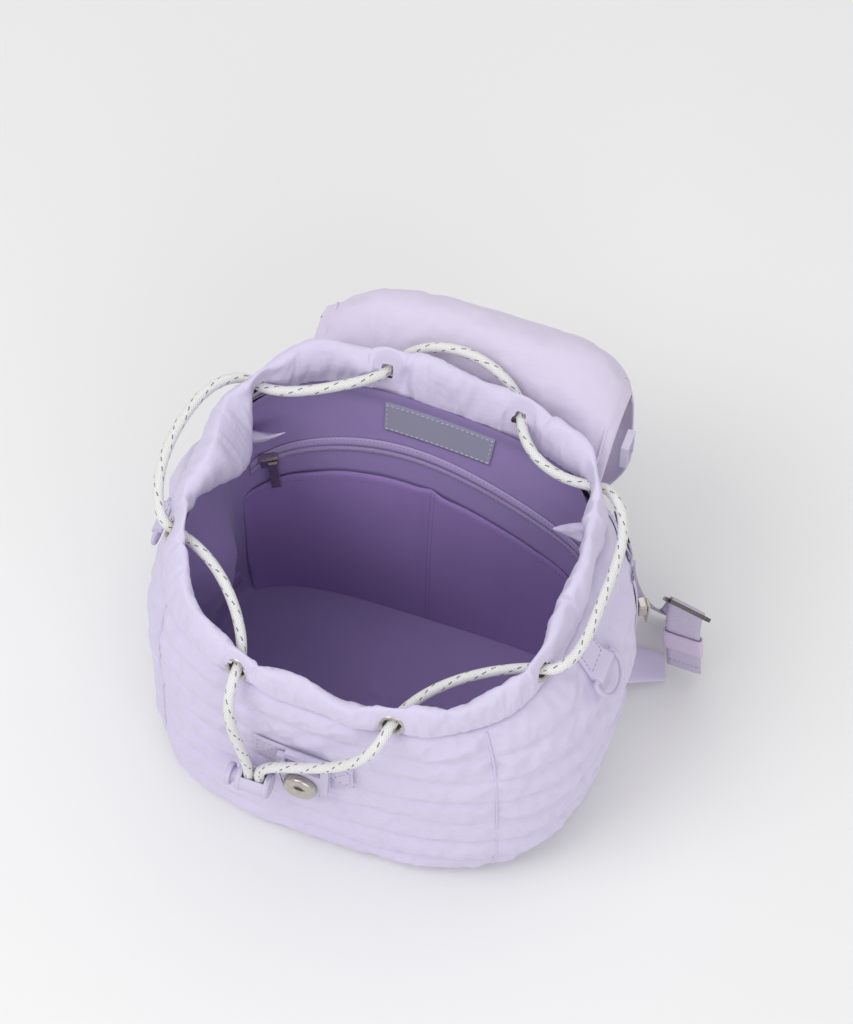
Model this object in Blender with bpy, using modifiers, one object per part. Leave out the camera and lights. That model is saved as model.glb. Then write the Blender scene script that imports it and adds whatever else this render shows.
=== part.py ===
"""Quilted puffer backpack, open at its drawcord top, with the lid thrown back behind it.

The bag stands on z = 0 with its front towards -Y and X to its right. The origin is on the
ground, in the middle of the wall's sections. A place on the wall is given by its turn, in
degrees from +X and counter-clockwise from above, and its rise, a share of the wall's height.
"""
from math import cos, degrees, exp, pi, radians, sin

import bmesh
import bpy
from mathutils import Matrix, Vector

MM = 0.001
GAP = 0.4 * MM

# Padded wall
HALF_WIDTH = 150 * MM
HALF_DEPTH = 110 * MM
BODY_HEIGHT = 230 * MM
RIM_UP_TO_BACK = 27 * MM
RIM_UP_TO_LEFT = 10 * MM
PADDING = 11 * MM
GROOVE_DEPTH = 5.5 * MM
SEAM_DEPTH = 3.0 * MM
CHANNELS = 7
ROWS_PER_CHANNEL = 3
BAND_FOOT = 0.865
BASE_THICKNESS = 8 * MM
LINING = 1.2 * MM
SEAM_TURNS = (-40.0, 35.0, 145.0, 214.0)
COLUMNS_BETWEEN_SEAMS = (10, 13, 9, 16)

# Rises of the rows that the wall's inner face and the lining share
SKIN_RISES = [0.10, 0.25, 0.40, 0.55, 0.70, BAND_FOOT - 0.0025]

# Reaches are shares of the half width and half depth, the padding a share of its own size
SECTION_COLUMNS = ("rise", "left", "right", "front", "back", "padding", "square")
SECTIONS = (
    (0.00, 0.880, 0.915, 0.985, 0.730, 0.75, 1.00),
    (0.05, 0.955, 1.010, 1.055, 0.775, 0.95, 1.00),
    (0.15, 0.985, 1.070, 1.075, 0.790, 1.00, 1.00),
    (0.30, 0.985, 1.090, 1.065, 0.805, 1.00, 0.98),
    (0.50, 0.985, 1.100, 1.055, 0.845, 1.00, 0.96),
    (0.70, 0.975, 1.050, 1.050, 0.915, 0.85, 0.93),
    (0.84, 0.925, 0.935, 1.040, 0.985, 0.60, 0.90),
    (0.92, 0.885, 0.885, 1.030, 1.030, 0.60, 0.87),
    (1.00, 0.820, 0.865, 1.010, 1.080, 0.60, 0.84),
)
SQUARENESS = {"front_left": 3.1, "front_right": 2.85, "back_right": 4.4, "back_left": 3.4}

# Soft dents of the outer face: where, how far they spread, and depth as a share of the padding
DENT_COLUMNS = ("turn", "rise", "turn_spread", "rise_spread", "lean", "depth")
DENTS = (
    (-20.0, 0.62, 16.0, 0.035, 0.004, 0.30),
    (-5.0, 0.45, 18.0, 0.030, 0.005, 0.28),
    (12.0, 0.28, 15.0, 0.030, 0.004, 0.24),
    (-118.0, 0.20, 20.0, 0.040, 0.002, 0.20),
    (-75.0, 0.66, 18.0, 0.035, -0.002, 0.22),
    (188.0, 0.55, 14.0, 0.040, 0.003, 0.26),
)

# Hem band and its drawcord
BAND_THICKNESS = 10.5 * MM
BAND_SET_IN = 2.5 * MM
BAND_FOOT_IN = 3.3 * MM
BAND_SIDES = 8
BAND_COLUMNS = 72
BAND_WAVE = 2.0 * MM
BAND_WAVES = 17
BAND_TOP_WAVE = 0.012
EYELET_RISE = 0.93
EYELET_RADIUS = 9.0 * MM
EYELET_BORE = 5.6 * MM
EYELET_THICKNESS = 5.0 * MM
EYELET_TURNS = {
    "front_left": -117.0,
    "front_right": -66.0,
    "right_front": -19.0,
    "right_back": 35.0,
    "back_right": 63.0,
    "back_left": 107.0,
    "left_back": 147.0,
    "left_front": 196.0,
}
CORD_DIAMETER = 7.0 * MM
CORD_POINTS = 112
CORD_STRANDS = 7.6 * MM
CORD_EASING = 60
CORD_SLANT = 0.5
EYELET_REACH = 6 * MM
# Eyelets in the order that the cord meets them, and its legs before, between and after
# them, in millimetres; the first leg and every second one after it lie outside the wall
CORD_EYELETS = (
    "front_left", "left_front", "left_back", "back_left",
    "back_right", "right_back", "right_front", "front_right",
)
CORD_LEGS = (
    ((-44.8, -127.5, 81), (-44.8, -127.5, 91), (-44.8, -127.5, 101), (-46, -129, 120),
     (-49, -130, 145),
     (-53, -130, 170), (-56, -126, 188)),
    ((-61, -84, 201), (-73, -71, 211), (-88, -58, 216), (-102, -44, 213)),
    ((-142, -27, 227), (-147, -6, 229), (-148, 16, 231), (-145, 38, 234), (-140, 60, 237),
     (-132, 77, 239)),
    ((-97, 68, 234), (-85, 74, 239), (-70, 83, 244), (-55, 89, 247), (-42, 93, 246)),
    ((-34, 125, 246), (-16, 129, 252), (12, 130, 253), (38, 129, 249), (54, 125, 241)),
    ((60, 93, 236), (71, 88, 236), (84, 81, 231), (95, 75, 224)),
    ((136, 85, 220), (143, 68, 217), (145, 40, 212), (145, 12, 207), (144, -14, 202),
     (142, -36, 201)),
    ((107, -40, 191), (97, -48, 188), (84, -59, 185), (68, -71, 183), (54, -80, 183)),
    ((49, -124, 185), (40, -128, 175), (22, -130, 156), (2, -130.5, 139),
     (-15, -130.5, 128), (-28, -129.5, 119), (-35, -128.3, 110), (-37.2, -127.5, 101),
     (-37.2, -127.5, 91), (-37.2, -127.5, 81)),
)

# Cord lock: a barrel along X with a sprung plunger at its left end
LOCK_CENTRE = Vector((-41, -127.5, 89)) * MM
LOCK_RADIUS = 8.5 * MM
LOCK_LENGTH = 23 * MM
LOCK_BORE = 5.4 * MM
LOCK_BORE_DEPTH = 19.5 * MM
LOCK_TRAVEL = 3 * MM
PLUNGER_CAP = 3.5 * MM
PLUNGER_CAP_RADIUS = 7.5 * MM

# Front closure
FRONT_STRIP_TURNS = (-111.0, -78.0)
FRONT_STRIP_RISES = (0.515, 0.625)
WEBBING_THICKNESS = 1.6 * MM
FRAME_SIZE = Vector((36, 44, 4)) * MM
FRAME_SLOT = Vector((25, 12, 20)) * MM
FRAME_TURN = -94.5
FRAME_RISE = 0.53
SNAP_RADIUS = 11.5 * MM
SNAP_THICKNESS = 5.5 * MM

# Pieces on the lining; rises are of their top edges
POCKET_TURNS = (154.0, 39.0)
POCKET_ENDS_RISE = 0.48
POCKET_MIDDLE_RISE = 0.62
ZIP_TURNS = (150.0, 37.0)
ZIP_ENDS_RISE = 0.59
ZIP_MIDDLE_RISE = 0.71
ZIP_WIDTH = 10 * MM
SHEET_THICKNESS = 1.2 * MM
LABEL_TURNS = (107.0, 68.0)
LABEL_RISES = (0.765, 0.85)

# Side rings, held by sewn tabs
RING_WIRE = 3.8 * MM
RING_WIDTH = 29 * MM
RING_DROP = 23 * MM
RING_SWING = 110.0
RING_TURNS = {"right": -4.0, "left": 184.0}
RING_RISE = 0.745
TAB_WIDTH = 22 * MM
TAB_HEIGHT = 22 * MM
TAB_THICKNESS = 2.4 * MM
TAB_SINK = 0.4 * MM

# Shoulder straps: webbing from the top tab down to the ground behind, up over the slide
# buckle and down to the wing at the base; routes are in millimetres
STRAP_WIDTH = 25 * MM
STRAP_ACROSS = Vector((0.968, -0.046, -0.244)).normalized()
BUCKLE_UP = Vector((0.186, -0.512, 0.839))
STRAP_ROUTES = {
    "right": {
        "behind": (
            (134, 97, 128), (134, 106, 95), (140, 116, 55),
            (151, 128, 22), (162, 136, 6), (172, 130, 14), (178, 119, 44),
        ),
        "buckle": (184.6, 100, 79),
        "front": ((185, 93.5, 64), (186, 94.3, 51), (187, 95.1, 38), (188, 95.9, 25), (189.4, 97, 6)),
        "wing": ((147, 82, 13), (160, 87, 10), (176.7, 93, 7.6)),
    },
    "left": {
        "behind": (
            (-136, 97, 128), (-136, 106, 95), (-137, 116, 55),
            (-138, 128, 22), (-141, 136, 6), (-145, 130, 14), (-150, 119, 44),
        ),
        "buckle": (-152, 102, 79),
        "front": ((-152, 95.5, 64), (-152, 96.3, 51), (-152, 97.1, 38), (-152, 97.9, 25), (-152, 99, 6)),
        "wing": ((-122, 86, 13), (-130, 89, 10), (-139.2, 95, 6.5)),
    },
}
STRAP_TABS = {"right": (31.0, 0.74), "left": (154.0, 0.76)}
TAB_CLOTH = 2 * MM
BUCKLE_SIZE = Vector((34, 26, 2.8)) * MM
BUCKLE_SLOT = Vector((27, 7, 10)) * MM
BUCKLE_BAR = 4 * MM
KEEPER_HEIGHT = 22 * MM
KEEPER_WALL = 1.4 * MM
WING_WIDTH = 26 * MM
WING_THICKNESS = 3 * MM
WING_ACROSS = {"right": Vector((-0.33, 0.92, 0.05)), "left": Vector((0.33, 0.92, 0.05))}

# Upright zip at the right back edge
SIDE_ZIP_TURN = 22.5
SIDE_ZIP_RISES = (0.16, 0.70)
SLIDER_SIZE = Vector((9, 13, 6)) * MM
PULL_SIZE = Vector((8, 24, 2)) * MM

# Lid, thrown back: its middle line from the back wall over and down, in millimetres
LID_ROUTE = (
    (112, 200), (120.5, 214), (129, 229), (142, 242), (156, 248), (169, 244),
    (179, 229), (184, 206), (186, 175), (186, 140), (183, 105),
)
LID_THICKNESS = 8 * MM
LID_HALF_WIDTH = 110 * MM
LID_CENTRE_X = 17 * MM
LID_SIDE_DROP = 24 * MM
LID_ROWS = 15
LID_COLUMNS = 14
LOOP_CENTRE = Vector((125.2, 128, 205)) * MM
LOOP_SIZE = Vector((5, 16, 22)) * MM
LOOP_WALL = 3 * MM

COLOURS = {
    "shell_nylon": (0.60, 0.56, 0.74, 0.55, 0.0),
    "lid_nylon": (0.66, 0.60, 0.76, 0.55, 0.0),
    "dark_lining": (0.13, 0.09, 0.22, 0.6, 0.0),
    "label_cloth": (0.28, 0.27, 0.36, 0.7, 0.0),
    "webbing": (0.55, 0.50, 0.66, 0.7, 0.0),
    "cord_white": (0.82, 0.82, 0.80, 0.7, 0.0),
    "nickel": (0.55, 0.53, 0.50, 0.25, 1.0),
    "lilac_plastic": (0.58, 0.54, 0.70, 0.4, 0.0),
}


def read_table(rows, columns, key, name):
    """Value of a named column at a key, on a smooth curve through the table's rows."""
    place = columns.index(name)
    last = len(rows) - 1
    index = 0
    while index < last - 1 and key > rows[index + 1][0]:
        index += 1
    low, high = rows[index], rows[index + 1]
    before, after = rows[max(index - 1, 0)], rows[min(index + 2, last)]
    span = high[0] - low[0]
    t = min(max((key - low[0]) / span, 0.0), 1.0)
    slope_low = (high[place] - before[place]) / (high[0] - before[0]) * span
    slope_high = (after[place] - low[place]) / (after[0] - low[0]) * span
    return (
        low[place] * (2 * t**3 - 3 * t**2 + 1) + slope_low * (t**3 - 2 * t**2 + t)
        + high[place] * (3 * t**2 - 2 * t**3) + slope_high * (t**3 - t**2)
    )


def section(rise, name):
    """Named value of the wall's section at a rise."""
    return read_table(SECTIONS, SECTION_COLUMNS, rise, name)


def rim_height(turn):
    """Height of the open top in a direction: higher at the back and at the left."""
    a = radians(turn)
    return BODY_HEIGHT + RIM_UP_TO_BACK * sin(a) - RIM_UP_TO_LEFT * cos(a)


def plan_point(turn, rise):
    """Point of the wall's outer face, with no offset."""
    a = radians(turn)
    c, s = cos(a), sin(a)
    side = "right" if c >= 0 else "left"
    face = "back" if s >= 0 else "front"
    reach_x = HALF_WIDTH * section(rise, side)
    reach_y = HALF_DEPTH * section(rise, face)
    n = SQUARENESS[face + "_" + side] * section(rise, "square")
    radius = ((abs(c) / reach_x) ** n + (abs(s) / reach_y) ** n) ** (-1 / n)
    return Vector((radius * c, radius * s, rise * rim_height(turn)))


def wall_point(turn, rise, out=0.0):
    """Point at a level distance outside the wall's outer face."""
    step = 0.5
    along = plan_point(turn + step, rise) - plan_point(turn - step, rise)
    outward = Vector((along.y, -along.x, 0)).normalized()
    return plan_point(turn, rise) + outward * out


def wall_frame(turn, rise, out=0.0):
    """Place on the wall as a matrix: X along it, Y up it and Z straight out of it."""
    step, lift = 0.5, 0.01
    along = (plan_point(turn + step, rise) - plan_point(turn - step, rise)).normalized()
    up = plan_point(turn, rise + lift) - plan_point(turn, rise - lift)
    up = (up - along * up.dot(along)).normalized()
    outward = along.cross(up)
    matrix = Matrix((along, up, outward)).transposed().to_4x4()
    matrix.translation = plan_point(turn, rise) + outward * out
    return matrix


def turn_gap(first, second):
    """Smallest angle between two turns, in degrees."""
    return abs((first - second + 180) % 360 - 180)


def outer_dip(turn, rise):
    """How far the quilting, the corner seams and the dents pull the outer face in."""
    channel = rise / BAND_FOOT * CHANNELS
    swell = abs(sin(pi * channel)) ** 0.6
    dip = GROOVE_DEPTH * (1 - swell)
    for seam in SEAM_TURNS:
        dip = max(dip, SEAM_DEPTH * exp(-((turn_gap(turn, seam) / 3) ** 2)))
    for row in DENTS:
        dent = dict(zip(DENT_COLUMNS, row))
        across = (turn - dent["turn"] + 180) % 360 - 180
        level = dent["rise"] + dent["lean"] * across
        near = (across / dent["turn_spread"]) ** 2 + ((rise - level) / dent["rise_spread"]) ** 2
        dip += PADDING * dent["depth"] * exp(-near) * swell
    return min(dip, PADDING * 0.62)


def inner_out(rise, further=0.0):
    """Level offset of the wall's inner face, or of a skin that lies further in."""
    return -(PADDING * section(rise, "padding") + further)


def column_turns():
    """Turns of the wall's columns, with one on each corner seam."""
    turns = []
    ends = SEAM_TURNS[1:] + (SEAM_TURNS[0] + 360,)
    for start, end, count in zip(SEAM_TURNS, ends, COLUMNS_BETWEEN_SEAMS):
        turns += [start + (end - start) * i / count for i in range(count)]
    return turns


def new_material(name):
    """Principled material in one of the named colours."""
    red, green, blue, roughness, metallic = COLOURS[name]
    material = bpy.data.materials.new(name)
    material.use_nodes = True
    shader = material.node_tree.nodes["Principled BSDF"]
    shader.inputs["Base Color"].default_value = (red, green, blue, 1)
    shader.inputs["Roughness"].default_value = roughness
    shader.inputs["Metallic"].default_value = metallic
    material.diffuse_color = (red, green, blue, 1)
    return material


def link_object(name, data, material, collection):
    """New object in a collection, with its own copy of a named material."""
    thing = bpy.data.objects.new(name, data)
    if not data.materials:
        data.materials.append(new_material(material))
    collection.objects.link(thing)
    return thing


def loft(name, rings, material, collection, closed=False):
    """Closed body through rings of points; its end rings are capped or joined together.

    Each quad is split from its lower point of one column to the upper one of the next, so
    two skins that lie on each other are split alike and keep their clearance.
    """
    bm = bmesh.new()
    rows = [[bm.verts.new(p) for p in ring] for ring in rings]
    count = len(rings[0])
    pairs = list(zip(rows, rows[1:]))
    if closed:
        pairs.append((rows[-1], rows[0]))
    for low, high in pairs:
        for i in range(count):
            j = (i + 1) % count
            if high[i].co.z >= low[i].co.z:
                corners = ((low[i], low[j], high[j]), (low[i], high[j], high[i]))
            else:
                corners = ((low[i], low[j], high[i]), (low[j], high[j], high[i]))
            for corner in corners:
                bm.faces.new(corner)
    if not closed:
        bm.faces.new(rows[0])
        bm.faces.new(rows[-1])
    bmesh.ops.recalc_face_normals(bm, faces=bm.faces)
    mesh = bpy.data.meshes.new(name)
    bm.to_mesh(mesh)
    bm.free()
    mesh.shade_smooth()
    mesh.set_sharp_from_angle(angle=radians(40))
    return link_object(name, mesh, material, collection)


def patch(name, place, columns, rows, material, collection):
    """Thin closed panel; place(u, v, side) gives its points, u and v and side from 0 to 1."""
    rings = []
    for i in range(columns + 1):
        u = i / columns
        face = [place(u, j / rows, 0) for j in range(rows + 1)]
        back = [place(u, j / rows, 1) for j in range(rows, -1, -1)]
        rings.append(face + back)
    return loft(name, rings, material, collection)


def curve_through(points, steps):
    """Points on a smooth curve, with as many steps from each chosen point to the next."""
    fine = []
    last = len(points) - 1
    for i in range(last):
        a, b = points[max(i - 1, 0)], points[i]
        c, d = points[i + 1], points[min(i + 2, last)]
        for k in range(steps):
            t = k / steps
            fine.append(0.5 * (
                2 * b + (c - a) * t + (2 * a - 5 * b + 4 * c - d) * t**2
                + (3 * b - 3 * c + d - a) * t**3
            ))
    fine.append(points[last])
    return fine


def smooth_path(points, count):
    """Evenly spread points on a smooth curve through a few chosen ones."""
    fine = curve_through(points, 24)
    lengths = [0.0]
    for p, q in zip(fine, fine[1:]):
        lengths.append(lengths[-1] + (q - p).length)
    result, j = [], 0
    for i in range(count):
        target = lengths[-1] * i / (count - 1)
        while j < len(fine) - 2 and lengths[j + 1] < target:
            j += 1
        share = (target - lengths[j]) / max(lengths[j + 1] - lengths[j], 1e-9)
        result.append(fine[j].lerp(fine[j + 1], min(share, 1.0)))
    return result


def tube(name, points, diameter, material, collection, cyclic=False):
    """Round tube along a list of points."""
    curve = bpy.data.curves.new(name, "CURVE")
    curve.dimensions = "3D"
    curve.bevel_depth = diameter / 2
    curve.bevel_resolution = 2
    curve.use_fill_caps = True
    spline = curve.splines.new("POLY")
    spline.points.add(len(points) - 1)
    spline.use_cyclic_u = cyclic
    for knot, p in zip(spline.points, points):
        knot.co = (*p, 1)
    return link_object(name, curve, material, collection)


def ribbon(name, points, width, thickness, across, material, collection, steps=3):
    """Flat webbing on a smooth path, with the direction of its width at each chosen point."""
    path, sides = curve_through(points, steps), curve_through(across, steps)
    last = len(path) - 1
    rings = []
    for i, (p, side) in enumerate(zip(path, sides)):
        ahead = (path[min(i + 1, last)] - path[max(i - 1, 0)]).normalized()
        half = side.normalized() * (width / 2)
        face = ahead.cross(half).normalized() * (thickness / 2)
        rings.append([p - half - face, p + half - face, p + half + face, p - half + face])
    return loft(name, rings, material, collection)


def add_modifier(thing, kind, **settings):
    """Modifier with its settings, named for its kind."""
    modifier = thing.modifiers.new(kind.lower(), kind)
    for key, value in settings.items():
        setattr(modifier, key, value)
    return modifier


def cut(thing, cutter, operation="DIFFERENCE"):
    """Cut a wire-drawn helper out of a piece."""
    cutter.hide_render = True
    cutter.display_type = "WIRE"
    add_modifier(thing, "BOOLEAN", operation=operation, object=cutter)


def join(thing, helper):
    """Fuse a wire-drawn helper's form into a piece."""
    cut(thing, helper, "UNION")


def cylinder(name, radius, length, material, collection, sides=20):
    """Capped cylinder along Z about its own middle."""
    bm = bmesh.new()
    bmesh.ops.create_cone(
        bm, cap_ends=True, segments=sides, radius1=radius, radius2=radius, depth=length
    )
    mesh = bpy.data.meshes.new(name)
    bm.to_mesh(mesh)
    bm.free()
    mesh.shade_smooth()
    mesh.set_sharp_from_angle(angle=radians(40))
    return link_object(name, mesh, material, collection)


def block(name, size, material, collection):
    """Box of a size about its own middle."""
    bm = bmesh.new()
    bmesh.ops.create_cube(bm, size=1)
    bmesh.ops.scale(bm, vec=size, verts=bm.verts)
    mesh = bpy.data.meshes.new(name)
    bm.to_mesh(mesh)
    bm.free()
    return link_object(name, mesh, material, collection)


def turned(name, profile, material, collection, steps=12):
    """Body turned about Z from a profile that runs down on its outer side.

    The profile is closed into a ring unless it starts and ends on the axis.
    """
    bm = bmesh.new()
    verts = [bm.verts.new((x, 0, z)) for x, z in profile]
    ends = verts[1:] + verts[:1] if profile[0][0] > 0 else verts[1:]
    for start, end in zip(verts, ends):
        bm.edges.new((start, end))
    mesh = bpy.data.meshes.new(name)
    bm.to_mesh(mesh)
    bm.free()
    thing = link_object(name, mesh, material, collection)
    add_modifier(
        thing, "SCREW", steps=steps, render_steps=steps, use_merge_vertices=True,
        merge_threshold=0.00001,
    )
    return thing


def make_body(parts):
    """Padded wall, base, dark lining and hem band."""
    turns = column_turns()
    rows = CHANNELS * ROWS_PER_CHANNEL
    outer_rises = [SKIN_RISES[-1] * i / rows for i in range(rows + 1)]
    floor = BASE_THICKNESS + GAP

    def level_ring(height, out):
        """Ring of points at one height above the ground."""
        return [wall_point(t, height / rim_height(t), inner_out(0.04, out)) for t in turns]

    rings = [[wall_point(t, r, -outer_dip(t, r)) for t in turns] for r in outer_rises]
    inner = [[wall_point(t, r, inner_out(r)) for t in turns] for r in SKIN_RISES]
    rings += inner[::-1] + [level_ring(floor, 0), level_ring(0.0, 0)]
    loft("body_shell", rings, "shell_nylon", parts, closed=True)

    slab = [level_ring(0.0, GAP), level_ring(BASE_THICKNESS, GAP)]
    loft("base_panel", slab, "shell_nylon", parts)

    outer = [level_ring(floor, GAP)]
    outer += [[wall_point(t, r, inner_out(r, GAP)) for t in turns] for r in SKIN_RISES]
    inner = [[wall_point(t, r, inner_out(r, GAP + LINING)) for t in turns] for r in SKIN_RISES]
    inner = [level_ring(floor + LINING, GAP + LINING)] + inner
    loft("body_lining", outer + inner[::-1], "dark_lining", parts)


def band_point(turn, angle):
    """Point of the hem band's cross-section at an angle round it."""
    foot = BAND_FOOT + 0.0005
    wave = radians(turn) * BAND_WAVES
    calm = 1.0
    for eyelet in EYELET_TURNS.values():
        calm = min(calm, 1 - exp(-((turn_gap(turn, eyelet) / 6) ** 2)))
    top = 1 + BAND_TOP_WAVE * sin(wave * 0.5 + 1.0) * calm
    middle, half = (foot + top) / 2, (top - foot) / 2
    rise = middle + half * cos(angle)
    puff = 1 + 0.12 * sin(wave) * calm
    lens = abs(sin(angle)) ** 0.75 * (1 if sin(angle) >= 0 else -1)
    upper = 0.5 + 0.5 * cos(angle)
    shift = BAND_WAVE * sin(wave * 0.7) * calm * upper - BAND_FOOT_IN * (1 - upper) ** 2
    return wall_point(turn, rise, lens * puff * BAND_THICKNESS / 2 - BAND_SET_IN + shift)


def make_band(parts, cutters):
    """Puffy hem band with a round hole for each eyelet."""
    angles = [2 * pi * i / BAND_SIDES for i in range(BAND_SIDES)]
    turns = [360 * i / BAND_COLUMNS for i in range(BAND_COLUMNS)]
    rings = [[band_point(t, a) for t in turns] for a in angles]
    band = loft("rim_band", rings, "shell_nylon", parts, closed=True)
    ring_profile = (
        (EYELET_RADIUS, EYELET_THICKNESS * 0.35), (EYELET_RADIUS, -EYELET_THICKNESS * 0.35),
        (EYELET_RADIUS * 0.84, -EYELET_THICKNESS / 2), (EYELET_BORE, -EYELET_THICKNESS * 0.25),
        (EYELET_BORE, EYELET_THICKNESS * 0.25), (EYELET_RADIUS * 0.84, EYELET_THICKNESS / 2),
    )
    for name, turn in EYELET_TURNS.items():
        place = wall_frame(turn, EYELET_RISE, -BAND_SET_IN)
        hole = cylinder("hole_" + name, EYELET_RADIUS + GAP, 40 * MM, "nickel", cutters, 16)
        hole.matrix_world = place
        cut(band, hole)
        eyelet = turned("eyelet_" + name, ring_profile, "nickel", parts)
        eyelet.matrix_world = place


def on_lining(turn, rise, further):
    """Point a clearance and a distance further in than the lining's flat facets."""
    turns = column_turns()
    turns.append(turns[0] + 360)
    while turn < turns[0]:
        turn += 360
    i = max(k for k in range(len(turns) - 1) if turns[k] <= turn)
    floor = (BASE_THICKNESS + GAP + LINING) / rim_height(turn)
    rises = [floor] + SKIN_RISES
    j = max(k for k in range(len(rises) - 1) if rises[k] <= max(rise, floor))
    a = (turn - turns[i]) / (turns[i + 1] - turns[i])
    b = (rise - rises[j]) / (rises[j + 1] - rises[j])

    def corner(column, row):
        if row == 0:
            level = (BASE_THICKNESS + GAP + LINING) / rim_height(turns[column])
            return wall_point(turns[column], level, inner_out(0.04, GAP + LINING))
        return wall_point(turns[column], rises[row], inner_out(rises[row], GAP + LINING))

    low_left, high_right = corner(i, j), corner(i + 1, j + 1)
    if b <= a:
        low_right = corner(i + 1, j)
        point = low_left + (low_right - low_left) * a + (high_right - low_right) * b
    else:
        high_left = corner(i, j + 1)
        point = low_left + (high_left - low_left) * b + (high_right - high_left) * a
    inward = wall_point(turn, rise, -1) - wall_point(turn, rise)
    return point + inward * (2 * GAP + further)


def make_inside(parts):
    """Slip pocket, zip, bare label and small tab on the lining's back wall."""
    def pocket(u, v, side):
        turn = POCKET_TURNS[0] + (POCKET_TURNS[1] - POCKET_TURNS[0]) * u
        low = (BASE_THICKNESS + LINING + 3 * GAP) / rim_height(turn)
        high = POCKET_ENDS_RISE + (POCKET_MIDDLE_RISE - POCKET_ENDS_RISE) * sin(pi * u) ** 0.7
        slack = 3 * MM * v * sin(pi * u)
        return on_lining(turn, low + (high - low) * v, slack + SHEET_THICKNESS * side)

    patch("slip_pocket", pocket, 20, 4, "dark_lining", parts)

    def zip_tape(u, v, side):
        turn = ZIP_TURNS[0] + (ZIP_TURNS[1] - ZIP_TURNS[0]) * u
        middle = ZIP_ENDS_RISE + (ZIP_MIDDLE_RISE - ZIP_ENDS_RISE) * sin(pi * u) ** 0.7
        rise = middle + (v - 0.5) * ZIP_WIDTH / BODY_HEIGHT
        return on_lining(turn, rise, SHEET_THICKNESS * side)

    patch("pocket_zip", zip_tape, 24, 1, "dark_lining", parts)

    def label(u, v, side):
        turn = LABEL_TURNS[0] + (LABEL_TURNS[1] - LABEL_TURNS[0]) * u
        rise = LABEL_RISES[0] + (LABEL_RISES[1] - LABEL_RISES[0]) * v
        return on_lining(turn, rise, 0.8 * MM * side)

    patch("label", label, 8, 1, "label_cloth", parts)

    start = ZIP_TURNS[0] - 6
    rise = ZIP_ENDS_RISE + (ZIP_MIDDLE_RISE - ZIP_ENDS_RISE) * sin(pi * 6 / 113) ** 0.7
    out = inner_out(rise, 2 * GAP + LINING + SHEET_THICKNESS + GAP)
    place = wall_frame(start, rise, out)
    slider = block("pocket_zip_slider", Vector((13, 9, 5)) * MM, "nickel", parts)
    slider.matrix_world = place @ Matrix.Translation((0, 0, -3.6 * MM))
    add_modifier(slider, "BEVEL", width=1.2 * MM, segments=2)
    pull = block("pocket_zip_pull", Vector((7, 26, 2)) * MM, "nickel", parts)
    pull.matrix_world = place @ Matrix.Translation((-2 * MM, -11 * MM, -7.6 * MM))
    add_modifier(pull, "BEVEL", width=0.8 * MM, segments=2)

    def small_tab(u, v, side):
        rise = 0.10 + 0.05 * v
        return on_lining(163 - 5 * u, rise, 2 * MM * side)

    patch("lining_tab", small_tab, 2, 1, "dark_lining", parts)


def make_lid(parts, cutters):
    """Padded flap that starts on the back wall, goes up and over, and hangs down behind."""
    path = smooth_path([Vector((0, y, z)) * MM for y, z in LID_ROUTE], LID_ROWS)
    attach = path[0].y

    def wall_bend(x):
        reach = HALF_WIDTH * section(0.8, "right" if x >= 0 else "left") * 0.99
        return 1 - (1 - min(abs(x) / reach, 0.97) ** 3.4) ** (1 / 3.4)

    rings = []
    for i, p in enumerate(path):
        along = i / (LID_ROWS - 1)
        ahead = (path[min(i + 1, LID_ROWS - 1)] - path[max(i - 1, 0)]).normalized()
        normal = Vector((0, -ahead.z, ahead.y))
        follow = max(0.0, 1 - along / 0.3)
        end = max(0.0, (along - 0.8) / 0.2)
        half_width = LID_HALF_WIDTH * (1 - 0.14 * end ** 2) * (1 - 0.05 * (1 - along))
        upper, lower = [], []
        for j in range(LID_COLUMNS + 1):
            u = 2 * j / LID_COLUMNS - 1
            x = LID_CENTRE_X + half_width * u
            spread = abs(u) ** 5
            drop = LID_SIDE_DROP * spread * (1 - follow) + 10 * MM * end ** 2 * (1 - spread)
            thick = LID_THICKNESS * (1 - 0.55 * abs(u) ** 8) * (0.55 if i == 0 else 1)
            middle = Vector((x, p.y, p.z)) - normal * drop
            middle.y -= attach * wall_bend(x) * follow * 0.96
            upper.append(middle + normal * (thick / 2))
            lower.append(middle - normal * (thick / 2))
        rings.append(upper + lower[::-1])
    loft("lid", rings, "lid_nylon", parts)
    loop = block("lid_loop", LOOP_SIZE, "lilac_plastic", parts)
    hole = block("loop_hole", LOOP_SIZE + Vector((2, -2, -2)) * LOOP_WALL, "nickel", cutters)
    for thing in (loop, hole):
        thing.location = LOOP_CENTRE
    cut(loop, hole)


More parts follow.
